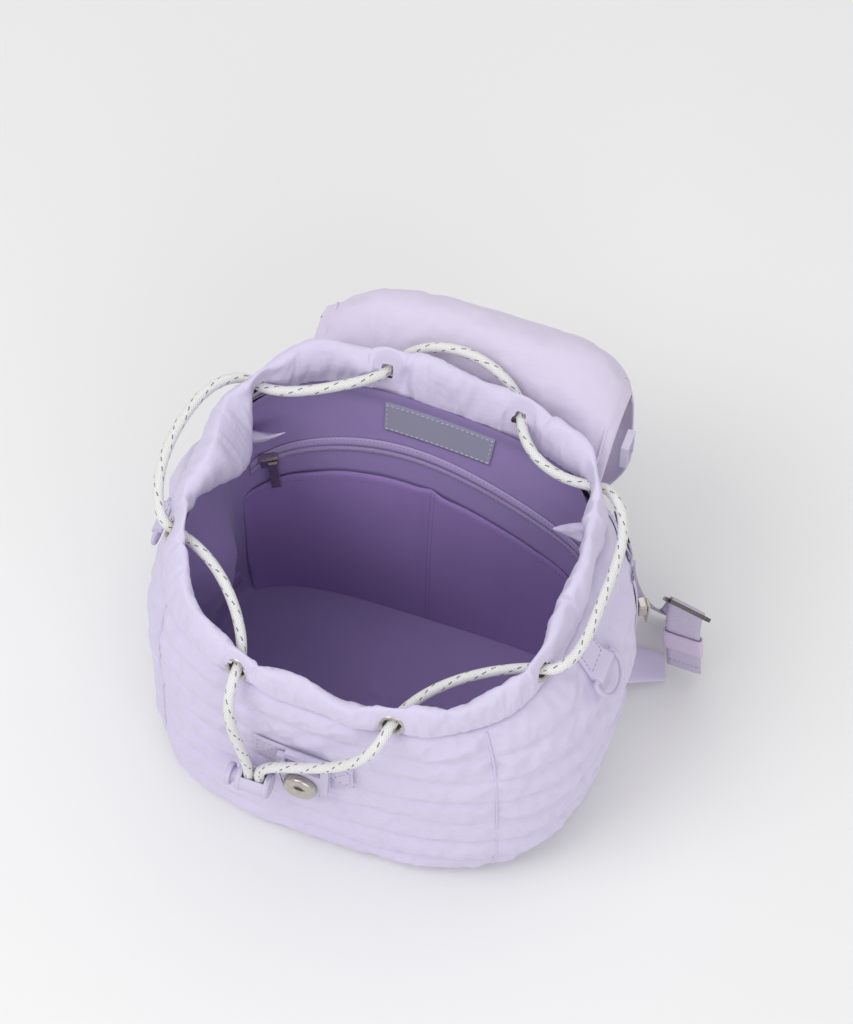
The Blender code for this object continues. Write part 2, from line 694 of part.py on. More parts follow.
def make_cord(parts):
    """Drawcord that threads the eyelets and ends in the cord lock."""
    knots = [Vector(p) * MM for p in CORD_LEGS[0]]
    pins = []
    for i, name in enumerate(CORD_EYELETS):
        place = wall_frame(EYELET_TURNS[name], EYELET_RISE, -BAND_SET_IN)
        centre, axis = place.translation, place.to_3x3().col[2]
        reach = axis * EYELET_REACH * (1 if i % 2 == 0 else -1)
        knots += [centre + reach, centre, centre - reach]
        knots += [Vector(p) * MM for p in CORD_LEGS[i + 1]]
        pins.append((centre, axis))
    path = smooth_path(knots, CORD_POINTS)
    held = {0, 1, 2, CORD_POINTS - 3, CORD_POINTS - 2, CORD_POINTS - 1}
    guided = {}
    for centre, axis in pins:
        nearest = min(range(CORD_POINTS), key=lambda k: (path[k] - centre).length)
        path[nearest] = centre
        held.add(nearest)
        guided[nearest - 1] = guided[nearest + 1] = (centre, axis)
    for _ in range(CORD_EASING):
        eased = list(path)
        for i in range(2, CORD_POINTS - 2):
            if i in held:
                continue
            bend = path[i - 2] + path[i + 2] - 4 * (path[i - 1] + path[i + 1]) + 6 * path[i]
            eased[i] = path[i] - bend * 0.08
            if i in guided:
                centre, axis = guided[i]
                along = axis * (eased[i] - centre).dot(axis)
                aside = eased[i] - centre - along
                most = along.length * CORD_SLANT
                if aside.length > most:
                    eased[i] = centre + along + aside * (most / aside.length)
        path = eased
    tube("drawcord", path, CORD_DIAMETER, "cord_white", parts)


def make_front(parts, cutters):
    """Sewn webbing strip, the frame on it and the round snap below."""
    def strip(u, v, side):
        turn = FRONT_STRIP_TURNS[0] + (FRONT_STRIP_TURNS[1] - FRONT_STRIP_TURNS[0]) * u
        rise = FRONT_STRIP_RISES[0] + (FRONT_STRIP_RISES[1] - FRONT_STRIP_RISES[0]) * v
        return wall_point(turn, rise, GAP + WEBBING_THICKNESS * side)

    patch("front_webbing", strip, 8, 2, "webbing", parts)
    out = GAP + WEBBING_THICKNESS + 0.8 * MM + FRAME_SIZE.z / 2
    place = wall_frame(FRAME_TURN, FRAME_RISE, out)
    frame = block("front_frame", FRAME_SIZE, "lilac_plastic", parts)
    frame.matrix_world = place
    slot = block("frame_slot", FRAME_SLOT, "lilac_plastic", cutters)
    slot.matrix_world = place @ Matrix.Translation((0, FRAME_SIZE.y * 0.24, 0))
    add_modifier(frame, "BEVEL", width=1.6 * MM, segments=3)
    cut(frame, slot)
    snap = turned("magnet_snap", (
        (SNAP_RADIUS, SNAP_THICKNESS * 0.7), (SNAP_RADIUS, 0), (2.4 * MM, 0),
        (2.4 * MM, SNAP_THICKNESS * 0.8), (SNAP_RADIUS * 0.82, SNAP_THICKNESS),
    ), "nickel", parts, steps=24)
    drop = Matrix.Translation((0, -FRAME_SIZE.y * 0.24, FRAME_SIZE.z / 2 + GAP))
    snap.matrix_world = place @ drop


def make_lock(parts, cutters):
    """Cord lock whose plunger slides along X inside its barrel."""
    lie = Matrix.Translation(LOCK_CENTRE) @ Matrix.Rotation(radians(-90), 4, "Y")
    barrel = cylinder("cord_lock_barrel", LOCK_RADIUS, LOCK_LENGTH, "lilac_plastic", parts, 24)
    barrel.matrix_world = lie
    bore = cylinder("lock_bore", LOCK_BORE, LOCK_BORE_DEPTH, "nickel", cutters, 20)
    bore.matrix_world = lie @ Matrix.Translation(
        (0, 0, (LOCK_LENGTH - LOCK_BORE_DEPTH) / 2 + MM)
    )
    gate_size = Vector((CORD_STRANDS + CORD_DIAMETER + 1.2 * MM, CORD_DIAMETER + 1 * MM, 60 * MM))
    gate = block("lock_gate", gate_size, "nickel", cutters)
    gate.location = LOCK_CENTRE
    cut(barrel, bore)
    cut(barrel, gate)
    stem_end = LOCK_LENGTH / 2 - LOCK_BORE_DEPTH + LOCK_TRAVEL + 2 * MM
    cap_end = LOCK_LENGTH / 2 + LOCK_TRAVEL + MM + PLUNGER_CAP
    stem = LOCK_BORE - GAP
    plunger = turned("cord_lock_plunger", (
        (0.0, cap_end), (PLUNGER_CAP_RADIUS, cap_end),
        (PLUNGER_CAP_RADIUS, cap_end - PLUNGER_CAP), (stem, cap_end - PLUNGER_CAP),
        (stem, stem_end), (0.0, stem_end),
    ), "lilac_plastic", parts, steps=20)
    plunger.matrix_world = lie
    gate_size.x += LOCK_TRAVEL
    passage = block("plunger_gate", gate_size, "nickel", cutters)
    passage.location = LOCK_CENTRE - Vector((LOCK_TRAVEL / 2, 0, 0))
    cut(plunger, passage)


def make_rings(parts, cutters):
    """D-rings on the side panels, each hanging in the folded end of a sewn tab."""
    eye_radius = RING_WIRE / 2 + GAP + TAB_THICKNESS / 2
    stand = eye_radius + 2 * GAP - TAB_SINK
    for side, turn in RING_TURNS.items():
        place = wall_frame(turn, RING_RISE, stand)
        half = RING_WIDTH / 2
        shoulder = RING_DROP * 0.16
        bow = [
            Vector((half * cos(a), -shoulder - (RING_DROP - shoulder) * sin(a) ** 0.8, 0))
            for a in [pi * i / 12 for i in range(13)]
        ]
        points = [Vector((half, 0, 0))] + bow + [Vector((-half, 0, 0))]
        ring = tube("d_ring_" + side, points, RING_WIRE, "lilac_plastic", parts, cyclic=True)
        ring.matrix_world = place
        name = "d_ring_tab_" + side
        half_turn = degrees(TAB_WIDTH / 2 / plan_point(turn, RING_RISE).xy.length)
        climb = TAB_HEIGHT / rim_height(turn)

        def cloth(u, v, face, turn=turn, half_turn=half_turn, climb=climb):
            """Point of the tab's cloth, which follows the wall up from the ring."""
            out = GAP - TAB_SINK + TAB_THICKNESS * face
            return wall_point(turn + half_turn * (2 * u - 1), RING_RISE + climb * v, out)

        tab = patch(name, cloth, 4, 5, "webbing", parts)
        lie = place @ Matrix.Rotation(radians(90), 4, "Y")
        eye = cylinder("eye_" + side, eye_radius, TAB_WIDTH, "webbing", cutters, 16)
        bore = cylinder("bore_" + side, RING_WIRE / 2 + GAP, 2 * TAB_WIDTH, "webbing", cutters, 16)
        for helper in (eye, bore):
            helper.matrix_world = lie
        join(tab, eye)
        cut(tab, bore)


def make_straps(parts, cutters):
    """Each shoulder strap: tab, ribbed webbing, slide buckle, keeper and sewn wing."""
    across, up = STRAP_ACROSS, BUCKLE_UP
    up = (up - across * up.dot(across)).normalized()
    back = across.cross(up)
    back *= 1 if back.y > 0 else -1
    slot_middle = (BUCKLE_BAR + BUCKLE_SLOT.y) / 2
    lift = (BUCKLE_SIZE.z + WEBBING_THICKNESS) / 2 + GAP
    for side, route in STRAP_ROUTES.items():
        turn, rise = STRAP_TABS[side]

        def tab(u, v, face):
            return wall_point(turn - 5 + 10 * u, rise - 0.03 + 0.08 * v, GAP + TAB_CLOTH * face)

        patch("strap_tab_" + side, tab, 3, 2, "shell_nylon", parts)
        top = [
            wall_frame(turn, rise + above, 3.6 * GAP + TAB_CLOTH + WEBBING_THICKNESS / 2)
            for above in (0.03, -0.04, -0.10)
        ]
        sewn = top[0].to_3x3().col[0]
        sewn = sewn if sewn.dot(across) > 0 else -sewn
        behind = [Vector(p) * MM for p in route["behind"]]
        centre = Vector(route["buckle"]) * MM
        over = [
            centre + back * lift - up * 14 * MM, centre + back * lift - up * 2 * MM,
            centre + back * (lift - 0.6 * MM) + up * slot_middle * 0.6,
            centre + up * slot_middle, centre - back * 3 * MM + up * slot_middle * 0.55,
        ]
        hung = [Vector(p) * MM for p in route["front"]]
        down = (hung[2] - hung[1]).normalized()
        level = (across - down * across.dot(down)).normalized()
        path = [place.translation for place in top] + behind + over + hung
        widths = [sewn] * len(top) + [across] * len(behind + over) + [level] * len(hung)
        ribbon("strap_webbing_" + side, path, STRAP_WIDTH, WEBBING_THICKNESS, widths,
               "webbing", parts)
        lie = Matrix((across, up, across.cross(up))).transposed().to_4x4()
        lie.translation = centre
        buckle = block("strap_buckle_" + side, BUCKLE_SIZE, "nickel", parts)
        buckle.matrix_world = lie
        for sign in (-1, 1):
            slot = block("buckle_slot", BUCKLE_SLOT, "nickel", cutters)
            slot.matrix_world = lie @ Matrix.Translation((0, sign * slot_middle, 0))
            cut(buckle, slot)
        keeper_lie = Matrix((level, down.cross(level), down)).transposed().to_4x4()
        keeper_lie.translation = (hung[1] + hung[2]) / 2
        hole = Vector((STRAP_WIDTH + 2 * GAP, WEBBING_THICKNESS + 4 * GAP, KEEPER_HEIGHT))
        band = hole + Vector((2 * KEEPER_WALL, 2 * KEEPER_WALL, 0))
        keeper = block("strap_keeper_" + side, band, "lid_nylon", parts)
        keeper.matrix_world = keeper_lie
        hole.z *= 2
        inside = block("keeper_hole", hole, "nickel", cutters)
        inside.matrix_world = keeper_lie
        cut(keeper, inside)
        wing = [Vector(p) * MM for p in route["wing"]]
        ribbon("strap_wing_" + side, wing, WING_WIDTH, WING_THICKNESS,
               [WING_ACROSS[side]] * len(wing), "shell_nylon", parts)


def make_side_zip(parts):
    """Upright zip near the right back edge, with its slider and pull."""
    def tape(u, v, side):
        rise = SIDE_ZIP_RISES[0] + (SIDE_ZIP_RISES[1] - SIDE_ZIP_RISES[0]) * v
        return wall_point(SIDE_ZIP_TURN - 1.5 + 3 * u, rise, GAP + SHEET_THICKNESS * side)

    patch("side_zip", tape, 1, 10, "webbing", parts)
    place = wall_frame(SIDE_ZIP_TURN, 0.52, GAP * 1.6 + SHEET_THICKNESS + SLIDER_SIZE.z / 2)
    slider = block("side_zip_slider", SLIDER_SIZE, "nickel", parts)
    slider.matrix_world = place
    add_modifier(slider, "BEVEL", width=1.2 * MM, segments=2)
    pull = block("side_zip_pull", PULL_SIZE, "nickel", parts)
    lie = SLIDER_SIZE.z / 2 + PULL_SIZE.z / 2 + GAP
    pull.matrix_world = place @ Matrix.Translation((0, -PULL_SIZE.y / 2 + 3 * MM, lie))
    add_modifier(pull, "BEVEL", width=0.8 * MM, segments=2)


def main():
    """Clear the file and build every piece."""
    for thing in list(bpy.data.objects):
        bpy.data.objects.remove(thing)
    parts = bpy.data.collections.new("quilted_backpack")
    cutters = bpy.data.collections.new("cutters")
    for collection in (parts, cutters):
        bpy.context.scene.collection.children.link(collection)
    make_body(parts)
    make_band(parts, cutters)
    make_inside(parts)
    make_lid(parts, cutters)
    make_cord(parts)
    make_front(parts, cutters)
    make_lock(parts, cutters)
    make_rings(parts, cutters)
    make_straps(parts, cutters)
    make_side_zip(parts)


main()
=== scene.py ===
"""Looks of the quilted drawstring backpack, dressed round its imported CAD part.

Lengths are in metres in the part's own frame: X to the bag's right seen from the front, -Y out
of the front and Z up, with the ground at z = 0. A place on the padded wall is given by a turn,
in degrees from +X and counter-clockwise from above, and a rise, a share of the wall's height.
"""
import logging
from collections.abc import Callable, Sequence
from dataclasses import dataclass, field
from enum import Enum
from functools import lru_cache
from math import cos, degrees, exp, floor, pi, radians, sin

import bmesh
import bpy
import numpy as np
from mathutils import Matrix, Vector, noise


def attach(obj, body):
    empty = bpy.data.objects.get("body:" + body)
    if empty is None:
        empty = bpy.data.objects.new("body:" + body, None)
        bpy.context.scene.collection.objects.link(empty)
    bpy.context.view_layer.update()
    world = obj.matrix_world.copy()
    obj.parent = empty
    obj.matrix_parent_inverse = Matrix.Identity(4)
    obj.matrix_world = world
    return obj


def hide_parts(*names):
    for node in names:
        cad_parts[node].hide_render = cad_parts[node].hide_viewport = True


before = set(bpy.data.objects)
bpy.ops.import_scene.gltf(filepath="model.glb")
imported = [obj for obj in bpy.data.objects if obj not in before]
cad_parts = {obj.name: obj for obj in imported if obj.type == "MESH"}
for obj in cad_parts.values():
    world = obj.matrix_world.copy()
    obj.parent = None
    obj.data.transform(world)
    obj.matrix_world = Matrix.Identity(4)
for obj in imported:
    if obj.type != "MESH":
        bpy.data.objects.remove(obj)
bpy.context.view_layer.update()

log = logging.getLogger("backpack")

MM = 0.001
GAP = 0.4 * MM
Colour = tuple[float, float, float]
Points = list[Vector]


class Body(Enum):
    """Rigid bodies of the part that a piece can ride on."""

    BAG = "bag"
    PLUNGER = "plunger"
    RING_RIGHT = "ring_right"
    RING_LEFT = "ring_left"


class Side(Enum):
    """Sides of the bag that carry a ring and a shoulder strap."""

    RIGHT = "right"
    LEFT = "left"


class Slot(Enum):
    """Material slots of the part's record."""

    SHELL = "shell_nylon"
    LID = "lid_nylon"
    LINING = "dark_lining"
    LABEL = "label_cloth"
    WEBBING = "webbing"
    CORD = "cord_white"
    NICKEL = "nickel"
    PLASTIC = "lilac_plastic"


# Shader maths.


class Term:
    """A shader socket that can stand in arithmetic."""

    def __init__(self, graph: "Graph", socket: bpy.types.NodeSocket) -> None:
        """Keep the socket and the graph that it is in."""
        self.graph = graph
        self.socket = socket

    def __add__(self, other: "Term | float") -> "Term":
        """Sum of two values."""
        return self.graph.maths("ADD", self, other)

    __radd__ = __add__

    def __mul__(self, other: "Term | float") -> "Term":
        """Product of two values."""
        return self.graph.maths("MULTIPLY", self, other)

    def __sub__(self, other: "Term | float") -> "Term":
        """Difference of two values."""
        return self.graph.maths("SUBTRACT", self, other)

    def __rsub__(self, other: float) -> "Term":
        """Number less this value."""
        return self.graph.maths("SUBTRACT", other, self)

    def __truediv__(self, other: "Term | float") -> "Term":
        """Quotient of two values."""
        return self.graph.maths("DIVIDE", self, other)

    def __lt__(self, other: "Term | float") -> "Term":
        """1 where this value is the smaller one, and 0 elsewhere."""
        return self.graph.maths("LESS_THAN", self, other)


class Graph:
    """Node tree of one material, with its Principled shader."""

    def __init__(self, name: str) -> None:
        """Make the material and find its shader.

        Args:
            name: The material's name.
        """
        self.material = bpy.data.materials.new(name)
        self.material.use_nodes = True
        self.tree = self.material.node_tree
        self.shader = self.tree.nodes["Principled BSDF"]

    def add(self, kind: str, settings: dict | None = None, sockets: dict | None = None) -> bpy.types.Node:
        """Add any node.

        Args:
            kind: The node's type.
            settings: Its own settings, set first; "stops" fills a colour ramp.
            sockets: Values or terms for its inputs, by name or number.

        Returns:
            The new node.
        """
        node = self.tree.nodes.new(kind)
        for key, value in (settings or {}).items():
            if key == "stops":
                self.fill_ramp(node.color_ramp, value)
            else:
                setattr(node, key, value)
        for key, value in (sockets or {}).items():
            self.feed(node.inputs[key], value)
        return node

    def fill_ramp(self, ramp: bpy.types.ColorRamp, stops: Sequence[tuple[float, float]]) -> None:
        """Set a ramp's stops to grey values.

        Args:
            ramp: The colour ramp.
            stops: Places from 0 to 1, and their grey values.
        """
        while len(ramp.elements) < len(stops):
            ramp.elements.new(0.5)
        for element, (place, grey) in zip(ramp.elements, stops):
            element.position = place
            element.color = (grey, grey, grey, 1)

    def feed(self, socket: bpy.types.NodeSocket, value: "Term | float | Colour") -> None:
        """Link a term to a socket, or set a constant on it."""
        if isinstance(value, Term):
            self.tree.links.new(value.socket, socket)
        elif isinstance(value, tuple) and socket.type == "RGBA":
            socket.default_value = (*value, 1)
        else:
            socket.default_value = value

    def term(self, node: bpy.types.Node, output: str | int = 0) -> Term:
        """Output of a node as a term."""
        return Term(self, node.outputs[output])

    def maths(self, operation: str, *values: "Term | float") -> Term:
        """Math node on one or more values."""
        node = self.add("ShaderNodeMath", {"operation": operation}, dict(enumerate(values)))
        return self.term(node)

    def blend(self, factor: "Term | float", first: "Term | Colour", second: "Term | Colour") -> Term:
        """Colour between two others.

        Args:
            factor: 0 gives the first colour and 1 the second.
            first: A colour.
            second: Another colour.

        Returns:
            The mixed colour.
        """
        settings = {"data_type": "RGBA", "clamp_factor": True}
        return self.term(self.add("ShaderNodeMix", settings, {0: factor, 6: first, 7: second}), 2)

    def place(self, output: str = "Object") -> Term:
        """Texture place of the surface, in metres on the object or along its own length."""
        return self.term(self.add("ShaderNodeTexCoord"), output)

    def stretch(self, vector: Term, scale: Colour) -> Term:
        """Vector times a scale along each axis."""
        node = self.add("ShaderNodeVectorMath", {"operation": "MULTIPLY"}, {0: vector, 1: scale})
        return self.term(node)

    def grain(self, vector: Term, scale: float, detail: float = 2.0) -> Term:
        """Soft noise about 0.5.

        Args:
            vector: The place, in metres.
            scale: Spots to a metre.
            detail: Finer octaves.

        Returns:
            The noise's value.
        """
        sockets = {"Vector": vector, "Scale": scale, "Detail": detail, "Roughness": 0.55}
        return self.term(self.add("ShaderNodeTexNoise", None, sockets), "Fac")

    def split(self, vector: Term) -> tuple[Term, Term]:
        """First two parts of a vector."""
        node = self.add("ShaderNodeSeparateXYZ", None, {0: vector})
        return self.term(node, 0), self.term(node, 1)

    def ripple(self, value: Term, pitch: float) -> Term:
        """Wave from 0 to 1 that repeats over a length.

        Args:
            value: A length in metres.
            pitch: The wave's length in metres.

        Returns:
            The wave's value.
        """
        return self.maths("SINE", value * (2 * pi / pitch)) * 0.5 + 0.5

    def relief(self, height: Term, depth: float, under: Term | None = None) -> Term:
        """Normal that shows a height from 0 to 1.

        Args:
            height: The height's value.
            depth: The height in metres at 1.
            under: A coarser normal that this one lies on.

        Returns:
            The new normal.
        """
        sockets = {"Height": height, "Distance": depth, "Strength": 1.0}
        if under is not None:
            sockets["Normal"] = under
        return self.term(self.add("ShaderNodeBump", None, sockets), "Normal")

    def finish(self, sockets: dict) -> bpy.types.Material:
        """Set the shader's sockets and give back the material."""
        for key, value in sockets.items():
            self.feed(self.shader.inputs[key], value)
        return self.material


# Finishes.


@dataclass(frozen=True)
class Nylon:
    """Soft satin nylon with a fine weave and faint creases."""

    name: str
    light: Colour
    shade: Colour
    roughness: float = 0.55
    crease: float = 0.5 * MM
    sheen: float = 0.25

    def material(self) -> bpy.types.Material:
        """Material of the cloth."""
        graph = Graph(self.name)
        place = graph.place()
        cloud = graph.grain(place, 14, 3)
        creases = graph.grain(graph.stretch(place, (1.0, 1.0, 2.2)), 120, 3)
        weave = graph.grain(place, 1900, 1)
        coarse = graph.relief(creases, self.crease)
        return graph.finish({
            "Base Color": graph.blend(cloud * 0.7 + creases * 0.3, self.light, self.shade),
            "Roughness": self.roughness + (weave - 0.5) * 0.16,
            "Normal": graph.relief(weave, 0.06 * MM, coarse),
            "Sheen Weight": self.sheen,
            "Sheen Roughness": 0.45,
            "Specular IOR Level": 0.35,
        })


@dataclass(frozen=True)
class Ribbed:
    """Webbing with ribs across its length and a twill between them, laid along its UV map."""

    name: str
    # light is the webbing's colour on top of the ribs; shade is painted shade for the grooves between them.
    light: Colour
    shade: Colour
    rib: float = 1.9 * MM
    depth: float = 0.45 * MM

    def material(self) -> bpy.types.Material:
        """Material of the webbing."""
        graph = Graph(self.name)
        along, across = graph.split(graph.place("UV"))
        rib = graph.ripple(along, self.rib)
        twill = graph.ripple(along + across, 0.9 * MM)
        fuzz = graph.grain(graph.place(), 1500, 1)
        height = rib * 0.75 + twill * 0.15 + fuzz * 0.1
        return graph.finish({
            # The colour darkens where the ribs dip: painted shade in the grooves between the ribs.
            "Base Color": graph.blend(rib * 0.7 + fuzz * 0.3, self.shade, self.light),
            "Roughness": 0.72 - rib * 0.12,
            "Normal": graph.relief(height, self.depth),
            "Sheen Weight": 0.15,
        })


@dataclass(frozen=True)
class Braid:
    """White braided cord with short slanted grey flecks, laid along its UV map."""

    name: str
    white: Colour
    fleck: Colour
    pitch: float = 2.2 * MM
    girth: float = 7 * pi * MM

    def material(self) -> bpy.types.Material:
        """Material of the cord."""
        graph = Graph(self.name)
        along, around = graph.split(graph.place("UV"))
        strands = self.girth / 10
        left = graph.ripple(along * (strands / self.pitch) + around, strands)
        right = graph.ripple(along * (strands / self.pitch) - around, strands)
        relief = graph.maths("MAXIMUM", left, right)
        lane = around / (self.girth / 3) + along / (22.0 * MM)
        row = graph.maths("FLOOR", lane)
        dash = graph.maths("FRACT", lane) < 0.13
        step = graph.maths("FRACT", along / (6.4 * MM) + row * 0.37) < 0.46
        fuzz = graph.grain(graph.place(), 1800, 1)
        # Grey where the braid's relief is low and white on its strands: painted shade in the grooves
        # between the strands. The flecks are the cord's own colour.
        colour = graph.blend(relief * 0.6 + fuzz * 0.3, (0.62, 0.62, 0.61), self.white)
        return graph.finish({
            "Base Color": graph.blend(dash * step, colour, self.fleck),
            "Roughness": 0.62 + fuzz * 0.2,
            "Normal": graph.relief(relief * 0.85 + fuzz * 0.15, 0.4 * MM),
            "Sheen Weight": 0.1,
        })


@dataclass(frozen=True)
class Metal:
    """Polished or brushed metal with faint handling marks."""

    name: str
    tint: Colour
    roughness: float = 0.2

    def material(self) -> bpy.types.Material:
        """Material of the metal."""
        graph = Graph(self.name)
        place = graph.place()
        smear = graph.grain(place, 220, 3)
        scratch = graph.grain(graph.stretch(place, (1.0, 0.12, 1.0)), 2600, 2)
        dark = tuple(0.72 * part for part in self.tint)
        return graph.finish({
            "Base Color": graph.blend(smear, self.tint, dark),
            "Metallic": 1.0,
            "Roughness": self.roughness + smear * 0.14 + scratch * 0.06,
            "Normal": graph.relief(scratch, 0.02 * MM),
        })


@dataclass(frozen=True)
class Moulded:
    """Moulded plastic with a faint grain."""

    name: str
    tint: Colour
    roughness: float = 0.42

    def material(self) -> bpy.types.Material:
        """Material of the plastic."""
        graph = Graph(self.name)
        place = graph.place()
        grain = graph.grain(place, 1400, 2)
        flow = graph.grain(place, 70, 2)
        dark = tuple(0.86 * part for part in self.tint)
        return graph.finish({
            "Base Color": graph.blend(flow, self.tint, dark),
            "Roughness": self.roughness + grain * 0.12,
            "Normal": graph.relief(grain, 0.03 * MM),
            "Coat Weight": flow * 0.15,
        })


@dataclass(frozen=True)
class Woven:
    """Flat woven cloth, such as a lining, a label or a zip tape, with a fine twill."""

    name: str
    light: Colour
    shade: Colour
    twill: float = 0.8 * MM
    roughness: float = 0.68
    crease: float = 0.5 * MM

    def material(self) -> bpy.types.Material:
        """Material of the cloth."""
        graph = Graph(self.name)
        place = graph.place()
        cloud = graph.grain(place, 22, 3)
        creases = graph.grain(graph.stretch(place, (1.0, 1.0, 0.6)), 85, 3)
        along, across = graph.split(graph.place("UV"))
        twill = graph.ripple(along + across, self.twill)
        weave = graph.grain(place, 1700, 1) * 0.6 + twill * 0.4
        return graph.finish({
            "Base Color": graph.blend(cloud * 0.6 + weave * 0.4, self.light, self.shade),
            "Roughness": self.roughness + (weave - 0.5) * 0.14,
            "Normal": graph.relief(weave, 0.08 * MM, graph.relief(creases, self.crease)),
            "Sheen Weight": 0.2,
        })


SHELL = Nylon("quilted_shell", (0.655, 0.605, 0.785), (0.605, 0.555, 0.74))
SHELL_SMOOTH = Nylon("sewn_tab_nylon", (0.64, 0.59, 0.77), (0.59, 0.54, 0.72), crease=0.15 * MM)
LID_CLOTH = Nylon("lid_lining", (0.67, 0.605, 0.765), (0.62, 0.555, 0.71))
KEEPER_CLOTH = Nylon("keeper_band", (0.63, 0.53, 0.70), (0.59, 0.49, 0.66), crease=0.1 * MM)
LINING = Woven("purple_lining", (0.32, 0.235, 0.49), (0.26, 0.19, 0.41))
POCKET_CLOTH = Woven("pocket_lining", (0.31, 0.20, 0.48), (0.26, 0.165, 0.42))
ZIP_TAPE = Woven("zip_tape", (0.42, 0.34, 0.58), (0.35, 0.28, 0.50), crease=0.1 * MM)
SIDE_TAPE = Woven("side_zip_tape", (0.60, 0.55, 0.74), (0.54, 0.49, 0.68), crease=0.1 * MM)
LABEL_CLOTH = Woven("label_cloth", (0.74, 0.71, 0.82), (0.66, 0.63, 0.74), twill=0.5 * MM)
# Each webbing's second colour is painted shade for the grooves between its ribs.
WEBBING = Ribbed("lilac_webbing", (0.68, 0.63, 0.76), (0.46, 0.41, 0.58))
STRIP_WEBBING = Ribbed("fine_webbing", (0.65, 0.60, 0.76), (0.55, 0.50, 0.67), 1.1 * MM, 0.2 * MM)
CORD = Braid("white_braid", (0.90, 0.90, 0.89), (0.22, 0.22, 0.25))
NICKEL = Metal("polished_nickel", (0.62, 0.58, 0.53), 0.18)
# Near-black nickel: a painted dark reflection on the slide buckles, and painted shade in the snap's slot.
NICKEL_PAINTED_DARK = Metal("nickel_painted_dark", (0.13, 0.12, 0.11), 0.18)
PLASTIC = Moulded("lilac_plastic", (0.60, 0.55, 0.74))
THREAD = Moulded("lilac_thread", (0.44, 0.39, 0.58), 0.7)
DARK_THREAD = Moulded("purple_thread", (0.24, 0.18, 0.38), 0.7)


# Meshes.


def dress(thing: bpy.types.Object, finish: object, slot: Slot | None = None) -> bpy.types.Object:
    """Give a piece its finish.

    Args:
        thing: The piece.
        finish: A finish, whose material is made once and shared.
        slot: The record's slot of the piece; not used.

    Returns:
        The same piece.
    """
    known = bpy.data.materials.get(finish.name)
    thing.data.materials.clear()
    thing.data.materials.append(known or finish.material())
    return thing


def seat(thing: bpy.types.Object, *nodes: str, body: Body = Body.BAG) -> bpy.types.Object:
    """Let a piece ride on a body, in place of solids of the CAD.

    Args:
        thing: The piece.
        nodes: The solids that it replaces, or none where it is only added.
        body: The body that it rides on.

    Returns:
        The same piece.
    """
    if nodes:
        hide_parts(*nodes)
    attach(thing, body.value)
    return thing


def link(name: str, mesh: bpy.types.ID) -> bpy.types.Object:
    """New object in the scene."""
    thing = bpy.data.objects.new(name, mesh)
    bpy.context.scene.collection.objects.link(thing)
    return thing


def grid(name: str, rows: Sequence[Sequence[Vector]], wrap: bool = False, close: bool = False,
         keep: Callable[[Vector], bool] | None = None) -> bpy.types.Object:
    """Smooth sheet through rows of points, with a UV map in metres.

    Args:
        name: The piece's name.
        rows: Rows of equally many points.
        wrap: Whether each row closes on itself.
        close: Whether the last row joins the first.
        keep: Tells by a face's middle whether the face stays.

    Returns:
        The new object.
    """
    points = np.array([[tuple(p) for p in row] for row in rows])
    count, columns = points.shape[:2]
    wide = columns if wrap else columns - 1
    high = count if close else count - 1
    steps_u = np.linalg.norm(np.roll(points, -1, 1) - points, axis=2).mean(0)
    steps_v = np.linalg.norm(np.roll(points, -1, 0) - points, axis=2).mean(1)
    us, vs = np.concatenate([[0], steps_u.cumsum()]), np.concatenate([[0], steps_v.cumsum()])
    faces, uvs = [], []
    for i in range(high):
        for j in range(wide):
            k, m = (i + 1) % count, (j + 1) % columns
            corners = (i * columns + j, i * columns + m, k * columns + m, k * columns + j)
            if keep is not None:
                middle = (points[i, j] + points[i, m] + points[k, m] + points[k, j]) / 4
                if not keep(Vector(middle)):
                    continue
            faces.append(corners)
            uvs += [(us[j], vs[i]), (us[j + 1], vs[i]), (us[j + 1], vs[i + 1]), (us[j], vs[i + 1])]
    mesh = bpy.data.meshes.new(name)
    mesh.from_pydata(points.reshape(-1, 3).tolist(), [], faces)
    layer = mesh.uv_layers.new(name="UVMap")
    layer.data.foreach_set("uv", np.array(uvs, np.float32).ravel())
    mesh.shade_smooth()
    return link(name, mesh)


def solidify(thing: bpy.types.Object, thickness: float, offset: float = 0.0) -> bpy.types.Object:
    """Give a sheet a thickness."""
    modifier = thing.modifiers.new("thickness", "SOLIDIFY")
    modifier.thickness, modifier.offset = thickness, offset
    return thing


def soften(thing: bpy.types.Object, levels: int = 1) -> bpy.types.Object:
    """Subdivide a piece smoothly."""
    modifier = thing.modifiers.new("smooth", "SUBSURF")
    modifier.levels = modifier.render_levels = levels
    return thing


def curve_through(points: Points, steps: int) -> Points:
    """Points on a smooth curve through a few chosen ones, with steps from each to the next."""
    fine = []
    last = len(points) - 1
    for i in range(last):
        a, b = points[max(i - 1, 0)], points[i]
        c, d = points[i + 1], points[min(i + 2, last)]
        for k in range(steps):
            t = k / steps
            fine.append(0.5 * (
                2 * b + (c - a) * t + (2 * a - 5 * b + 4 * c - d) * t**2
                + (3 * b - 3 * c + d - a) * t**3
            ))
    fine.append(points[last])
    return fine


def even_path(points: Points, count: int) -> Points:
    """Evenly spread points on a smooth curve through a few chosen ones."""
    fine = curve_through(points, 24)
    lengths = [0.0]
    for p, q in zip(fine, fine[1:]):
        lengths.append(lengths[-1] + (q - p).length)
    result, j = [], 0
    for i in range(count):
        target = lengths[-1] * i / (count - 1)
        while j < len(fine) - 2 and lengths[j + 1] < target:
            j += 1
        share = (target - lengths[j]) / max(lengths[j + 1] - lengths[j], 1e-9)
        result.append(fine[j].lerp(fine[j + 1], min(share, 1.0)))
    return result


def path_length(points: Points) -> float:
    """Length of a path."""
    return sum((q - p).length for p, q in zip(points, points[1:]))


